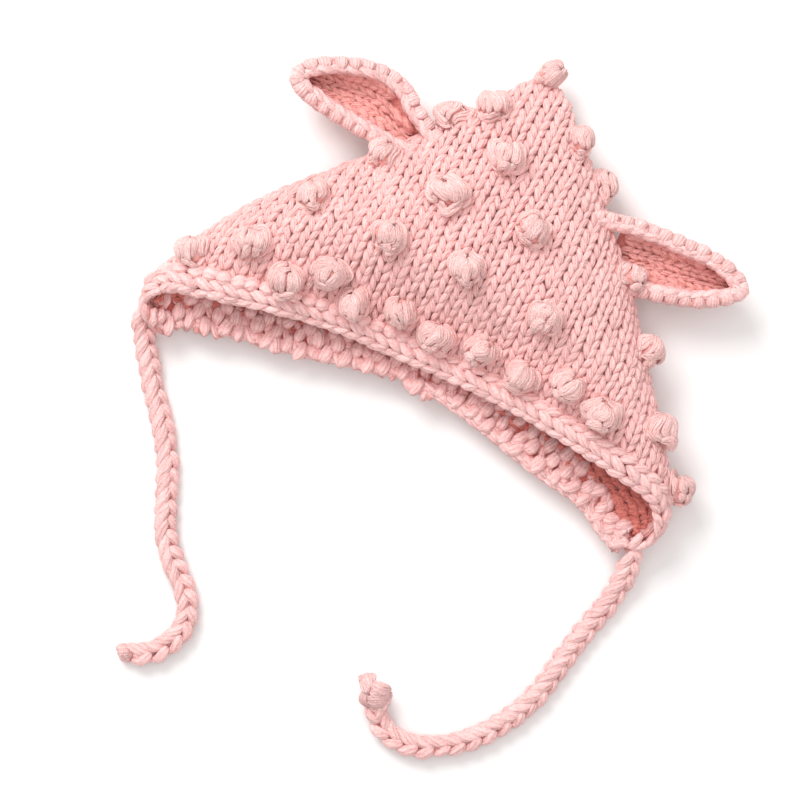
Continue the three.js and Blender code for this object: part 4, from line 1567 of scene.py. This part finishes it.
@dataclass
class Bobbles:
    """The plump knitted balls: a few fat strands drawn together over each."""

    form: HatForm
    shift: np.ndarray
    yarn: bpy.types.Material
    radius: float = 7.4
    lift: float = 2.6

    def build(self, names: Iterable[str]) -> None:
        """Makes a bobble for each solid that is one.

        Args:
            names: the solids' names.
        """
        for name in sorted(names):
            if name == BobblePlace.PEAK.value:
                self.build_one(name, BobblePlace.PEAK)
            elif name.startswith(BobblePlace.BACK.value):
                self.build_one(name, BobblePlace.BACK)
            elif name.startswith(BobblePlace.FRONT.value):
                self.build_one(name, BobblePlace.FRONT)

    def build_one(self, name: str, place: BobblePlace) -> None:
        """Makes one bobble where its solid is."""
        low, high = (np.array(corner) / MM - self.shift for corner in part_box(name))
        middle = (low + high) / 2
        rng = np.random.default_rng(SEED + sum(ord(c) * (i + 3) for i, c in enumerate(name)))
        if place is BobblePlace.BACK:
            ground = BallGround(np.array([middle[0], middle[1], 4.6]), -UP, np.array([0.0, 1.0, 0.0]), 0.62)
        elif place is BobblePlace.PEAK:
            aim = np.array([0.66, 0.75, 0.0])
            ground = BallGround(middle + np.array([1.0, 1.4, 0.0]), UP, aim, 0.8, 0.72)
        else:
            half_column = "left" if middle[0] < 0 else "right"
            half = OUTLINE.read(half_column, middle[1] / self.form.height) * self.form.half_width + self.lift
            angle = math.degrees(math.acos(float(np.clip(middle[0] / half, -1, 1))))
            out = self.form.outward(np.array(angle), middle[1])
            lean = math.radians(rng.uniform(-30, 30))
            up = np.array([math.sin(lean), math.cos(lean), 0.0])
            ground = BallGround(middle - out * 0.3, unit(out + 0.7 * UP), up, 0.9, rng.uniform(0.86, 1.08))
        mesh = YarnMesh(f"{name}_yarn")
        mesh.rng = rng
        mesh.phase = rng.uniform(0, 2 * math.pi, 3)
        self.wind(mesh, ground, rng)
        mesh.finish(self.shift, self.yarn, [name])

    def wind(self, mesh: YarnMesh, ground: BallGround, rng: np.random.Generator) -> None:
        """Lays one of the windings over the ball's face, and plain strands round its back."""
        size = self.radius * rng.uniform(0.95, 1.06)
        yarn = 0.235 * size
        self.wind_face(mesh, ground, rng, size, yarn)
        strand = Strand(10, 12)
        fan = np.radians(np.array([-108.0, 108.0, -142.0, 142.0, 180.0]))[:, None]
        polar = np.radians(8 + 164 * strand.at[None, :])
        reach = (size - yarn * 1.1) * np.sin(polar) ** 0.8
        lines = stack(reach * np.sin(fan), (size - yarn) * np.cos(polar), reach * np.cos(fan))
        local = strand.sweep(lines, np.full(len(fan), yarn * 1.2), unit(lines + np.array([0, 0, 1e-3])), plump=0.5)
        add_on_ball(mesh, strand, ground, local, size)
        # A core painted dark fills the ball, as the shade that shows between its strands.
        core = Strand(14, 9)
        t = core.at[None, :, None] - 0.5
        line = np.array([[[0.0, 1.0, 0.0]]]) * t * (size * 1.5)
        local = core.sweep(line, np.array([size * 0.8]), plump=0.9)
        add_on_ball(mesh, core, ground, local, size, 0.25)

    def wind_face(
        self, mesh: YarnMesh, ground: BallGround, rng: np.random.Generator, size: float, yarn: float
    ) -> None:
        """Lays the strands that face the viewer."""
        winding = np.array(WINDINGS[rng.integers(len(WINDINGS))])
        winding = winding + rng.normal(0, 0.085, winding.shape)
        winding[..., 0] *= rng.choice([-1.0, 1.0])
        lay_winding(mesh, ground, winding, size, yarn)


class TieEnd(Enum):
    """How a tie ends."""

    NUB = "nub"
    KNOT = "knot"


@dataclass
class Tie:
    """A knitted tie that lies loose: a chain of Vs with a row of plump lobes along one side."""

    name: str
    route: list[tuple[float, float, float]]
    end: TieEnd
    shift: np.ndarray
    yarn: bpy.types.Material
    diameter: float = 8.0
    pitch: float = 6.2

    def build(self) -> bpy.types.Object:
        """Returns:
            The tie.
        """
        line = curve_through(np.array(self.route), 240)
        outs = np.broadcast_to(UP, line.shape)
        ground = LineGround(line, outs, 2.7, 2.4)
        mesh = YarnMesh(f"{self.name}_yarn")
        ways = Stitches(mesh.rng)
        lay_core(mesh, ground, 0.2, 0.6)
        self.lay_sides(mesh, ways, ground)
        plain = Strand(8, 8)
        count = int(ground.length / self.pitch)
        v = (np.arange(count) + 0.5) * ground.length / count
        for middle in (-4.6, 7.4):
            lines = ways.bar(plain, np.full(count, middle), v, 2.6, 0.8, 5.4)[1:]
            mesh.lay(plain, ground, lines, np.full(count - 1, 1.4), (-1.2, 1.4))
        tie = mesh.finish(self.shift, self.yarn, [self.name])
        end = self.build_end(ground)
        path = (line + self.shift) * MM
        length = float(np.sum(np.linalg.norm(np.diff(path, axis=0), axis=1)))
        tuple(path[0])
        log.info("%s: %.3f m long", self.name, length)
        return tie

    def lay_sides(self, mesh: YarnMesh, ways: Stitches, ground: LineGround) -> None:
        """Lays long flat strands on one side, and plump lobes that hang past each other on the other."""
        strand = Strand(10, 11)
        t = strand.at[None, :]
        count = int(ground.length / self.pitch)
        foot = ((np.arange(count) + 0.5) * ground.length / count)[:, None]
        middle = 1.3 + 0.9 * np.sin(foot / 29.0)
        across = middle - 0.3 - 4.4 * smooth(t) + ways.spread(count, 0.15)
        along = foot + self.pitch * (-0.9 + 2.6 * t) + ways.spread(count, 0.3)
        along = np.clip(along, -1, ground.length - 2 + 0.02 * along)
        out = -0.9 + 0.9 * np.sin(math.pi * t) ** 0.7 + ways.spread(count, 0.12)
        mesh.lay(strand, ground, stack(across, along, out), np.full(count, 2.1), (-1.2, 1.3))
        across = middle + 0.4 + 2.7 * smooth(t * 1.25) + ways.spread(count, 0.2)
        along = foot + self.pitch * (-0.75 + 1.4 * t) + ways.spread(count, 0.3)
        along = np.clip(along, -1, ground.length - 2 + 0.02 * along)
        out = -0.7 + 1.4 * np.sin(math.pi * t) ** 0.7 + ways.spread(count, 0.15)
        size = 2.15 * (1 + mesh.rng.normal(0, 0.06, count))
        mesh.lay(strand, ground, stack(across, along, out), size, (-1.2, 1.6), plump=0.4)

    def build_end(self, ground: LineGround) -> bpy.types.Object:
        """Makes the cast-off nub or the knot with its tail."""
        tip, along = ground.points[-1], ground.along[-1]
        mesh = YarnMesh(f"{self.name}_{self.end.value}")
        if self.end is TieEnd.NUB:
            ball = BallGround(tip + along * 3.2, UP, along, 1.0, 0.9)
            lay_winding(mesh, ball, NUB, 4.0, 2.1)
            self.lay_core(mesh, ball, 7.2, 3.6)
            strand = Strand(10, 9)
            collar = np.array([[-0.7, -5.8], [0.5, -4.4]])
            t = strand.at[None, :] - 0.5
            lines = stack(8.6 * t, collar[:, 1:] + 2.0 * t, 1.4 * np.cos(math.pi * t) + collar[:, :1] * 0)
            local = strand.sweep(lines, np.array([1.9, 1.7]), plump=0.45)
            points = ball.place(local[..., 0], local[..., 1], local[..., 2])
            mesh.add(strand, points, local[..., 2] / 2.6 + 0.3)
        else:
            ball = BallGround(tip + along * 5.4 + UP * 0.2, UP, along)
            lay_winding(mesh, ball, KNOT, 7.4, 2.1)
            lay_winding(mesh, ball, KNOT[:6], 7.0, 2.1, -0.75)
            self.lay_core(mesh, ball, 9.0, 4.9)
        return mesh.finish(self.shift, self.yarn, [f"{self.name}_end"])

    def lay_core(self, mesh: YarnMesh, ball: BallGround, length: float, radius: float) -> None:
        """Fills an end, so that nothing shows through between its strands; its colour is set partway to the painted
        shade colour.
        """
        core = Strand(14, 10)
        line = np.array([[0.0, 1.0, 0.0]]) * (core.at[:, None] - 0.5) * length
        local = core.sweep(line[None], np.array([radius]), plump=0.9)
        points = ball.place(local[..., 0], local[..., 1], local[..., 2])
        mesh.add(core, points, np.full(points.shape[:2], 0.75))


@dataclass(frozen=True)
class Studio:
    """White paper, soft light and a camera straight above, turned as the photograph is."""

    roll: float = 21.7
    middle: tuple[float, float] = (-5.89, -62.18)
    width: float = 320.0
    plane: float = 15.0
    lens: float = 180.0
    sensor: float = 36.0

    def build_camera(self) -> None:
        """Makes the camera, whose frame is width wide at the height of plane."""
        data = bpy.data.cameras.new("camera")
        data.lens = self.lens
        data.sensor_width = self.sensor
        camera = bpy.data.objects.new("camera", data)
        bpy.context.scene.collection.objects.link(camera)
        distance = self.width * self.lens / self.sensor
        camera.location = (self.middle[0] * MM, self.middle[1] * MM, (distance + self.plane) * MM)
        camera.rotation_euler = (0.0, 0.0, math.radians(self.roll))
        data.clip_end = 20.0
        bpy.context.scene.camera = camera

    def build_set(self) -> None:
        """Makes the floor and the lights."""
        bpy.ops.object.select_all(action="DESELECT")
        bpy.ops.mesh.primitive_plane_add(size=8.0, location=(0.0, 0.0, 0.0))
        floor = bpy.context.object
        floor.name = "floor"
        floor.data.materials.append(PaperFloor().material())
        floor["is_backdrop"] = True
        self.add_light("window", (-0.95, 0.75, 1.3), 0.9, 23.0)
        self.add_light("overhead", (0.1, 0.1, 2.4), 2.0, 16.0)
        bpy.context.scene.view_settings.view_transform = "Standard"
        world = bpy.data.worlds.new("studio")
        bpy.context.scene.world = world
        world.use_nodes = True
        sky = world.node_tree.nodes["Background"]
        sky.inputs["Color"].default_value = (1.0, 1.0, 1.0, 1.0)
        sky.inputs["Strength"].default_value = 0.62

    def add_light(self, name: str, place: tuple[float, float, float], size: float, power: float) -> None:
        """Adds a soft square light that points at the bonnet."""
        data = bpy.data.lights.new(name, "AREA")
        data.shape = "SQUARE"
        data.size = size
        data.energy = power
        light = bpy.data.objects.new(name, data)
        bpy.context.scene.collection.objects.link(light)
        light.location = place
        direction = -light.location
        light.rotation_euler = direction.to_track_quat("-Z", "Y").to_euler()


@dataclass
class Bonnet:
    """The whole bonnet, built in order."""

    form: HatForm = field(default_factory=HatForm)

    def find_shift(self) -> np.ndarray:
        """From the hat's own middle to the frame's origin, read from one back bobble's solid."""
        low, high = (np.array(corner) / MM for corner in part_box("back_bobble_1_1"))
        middle = (low + high) / 2
        return np.array([middle[0], middle[1] - 0.7 * self.form.height, 0.0])

    def build(self) -> None:
        """Builds the ties, the crown, the bands, the ears and the bobbles."""
        shift = self.find_shift()
        # Each yarn's second colour is the painted shade of its low-lying strands. The inside and ear yarns are darker
        # copies of the same yarn, painted shade for the hollow inside the hat and the cupped ears.
        cloth = CottonYarn("cotton_knit_cloth", light="#fcc8c5", shade_colour="#d8958f").material()
        edging = CottonYarn("cotton_knit_edging", light="#fdcdca", shade_colour="#dc908b").material()
        balls = CottonYarn("cotton_knit_bobbles", light="#ffd0cc", shade_colour="#ea958e").material()
        inside = CottonYarn("cotton_knit_inside_shaded", light="#ea8f84", shade_colour="#c0524a").material()
        hollow = CottonYarn("cotton_knit_ears", light="#f6b4ad", shade_colour="#c8665d").material()
        Tie("tie_left", LEFT_ROUTE, TieEnd.NUB, shift, edging).build()
        Tie("tie_right", RIGHT_ROUTE, TieEnd.KNOT, shift, edging).build()
        crown = Crown(self.form, ClothGround(self.form), shift, cloth, inside)
        lining = crown.build()
        face = FaceBand(self.form, shift, edging).build()
        neck = NeckBand(self.form, shift, edging, inside)
        neck_pieces = [neck.build_lining(), neck.build()]
        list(crown.pieces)
        for name, rows, across, up, side in (
            ("left", LEFT_EAR, -0.4, 0.713, -1.0),
            ("right", RIGHT_EAR, 0.5, 0.628, 1.0),
        ):
            ground = EarGround(rows, across, up, side, self.form)
            sheet = Ear(name, ground, shift, hollow, edging).build()
        Bobbles(self.form, shift, balls).build(frame["nodes"])


def corners() -> list[list[float]]:
    """The shown object's lowest and highest corner as plain lists."""
    return [[float(x) for x in corner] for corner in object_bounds()]


def main() -> None:
    """Builds the camera, the bonnet and the set."""
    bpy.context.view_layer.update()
    studio = Studio()
    studio.build_camera()
    Bonnet().build()
    studio.build_set()


if __name__ == "__main__":
    main()
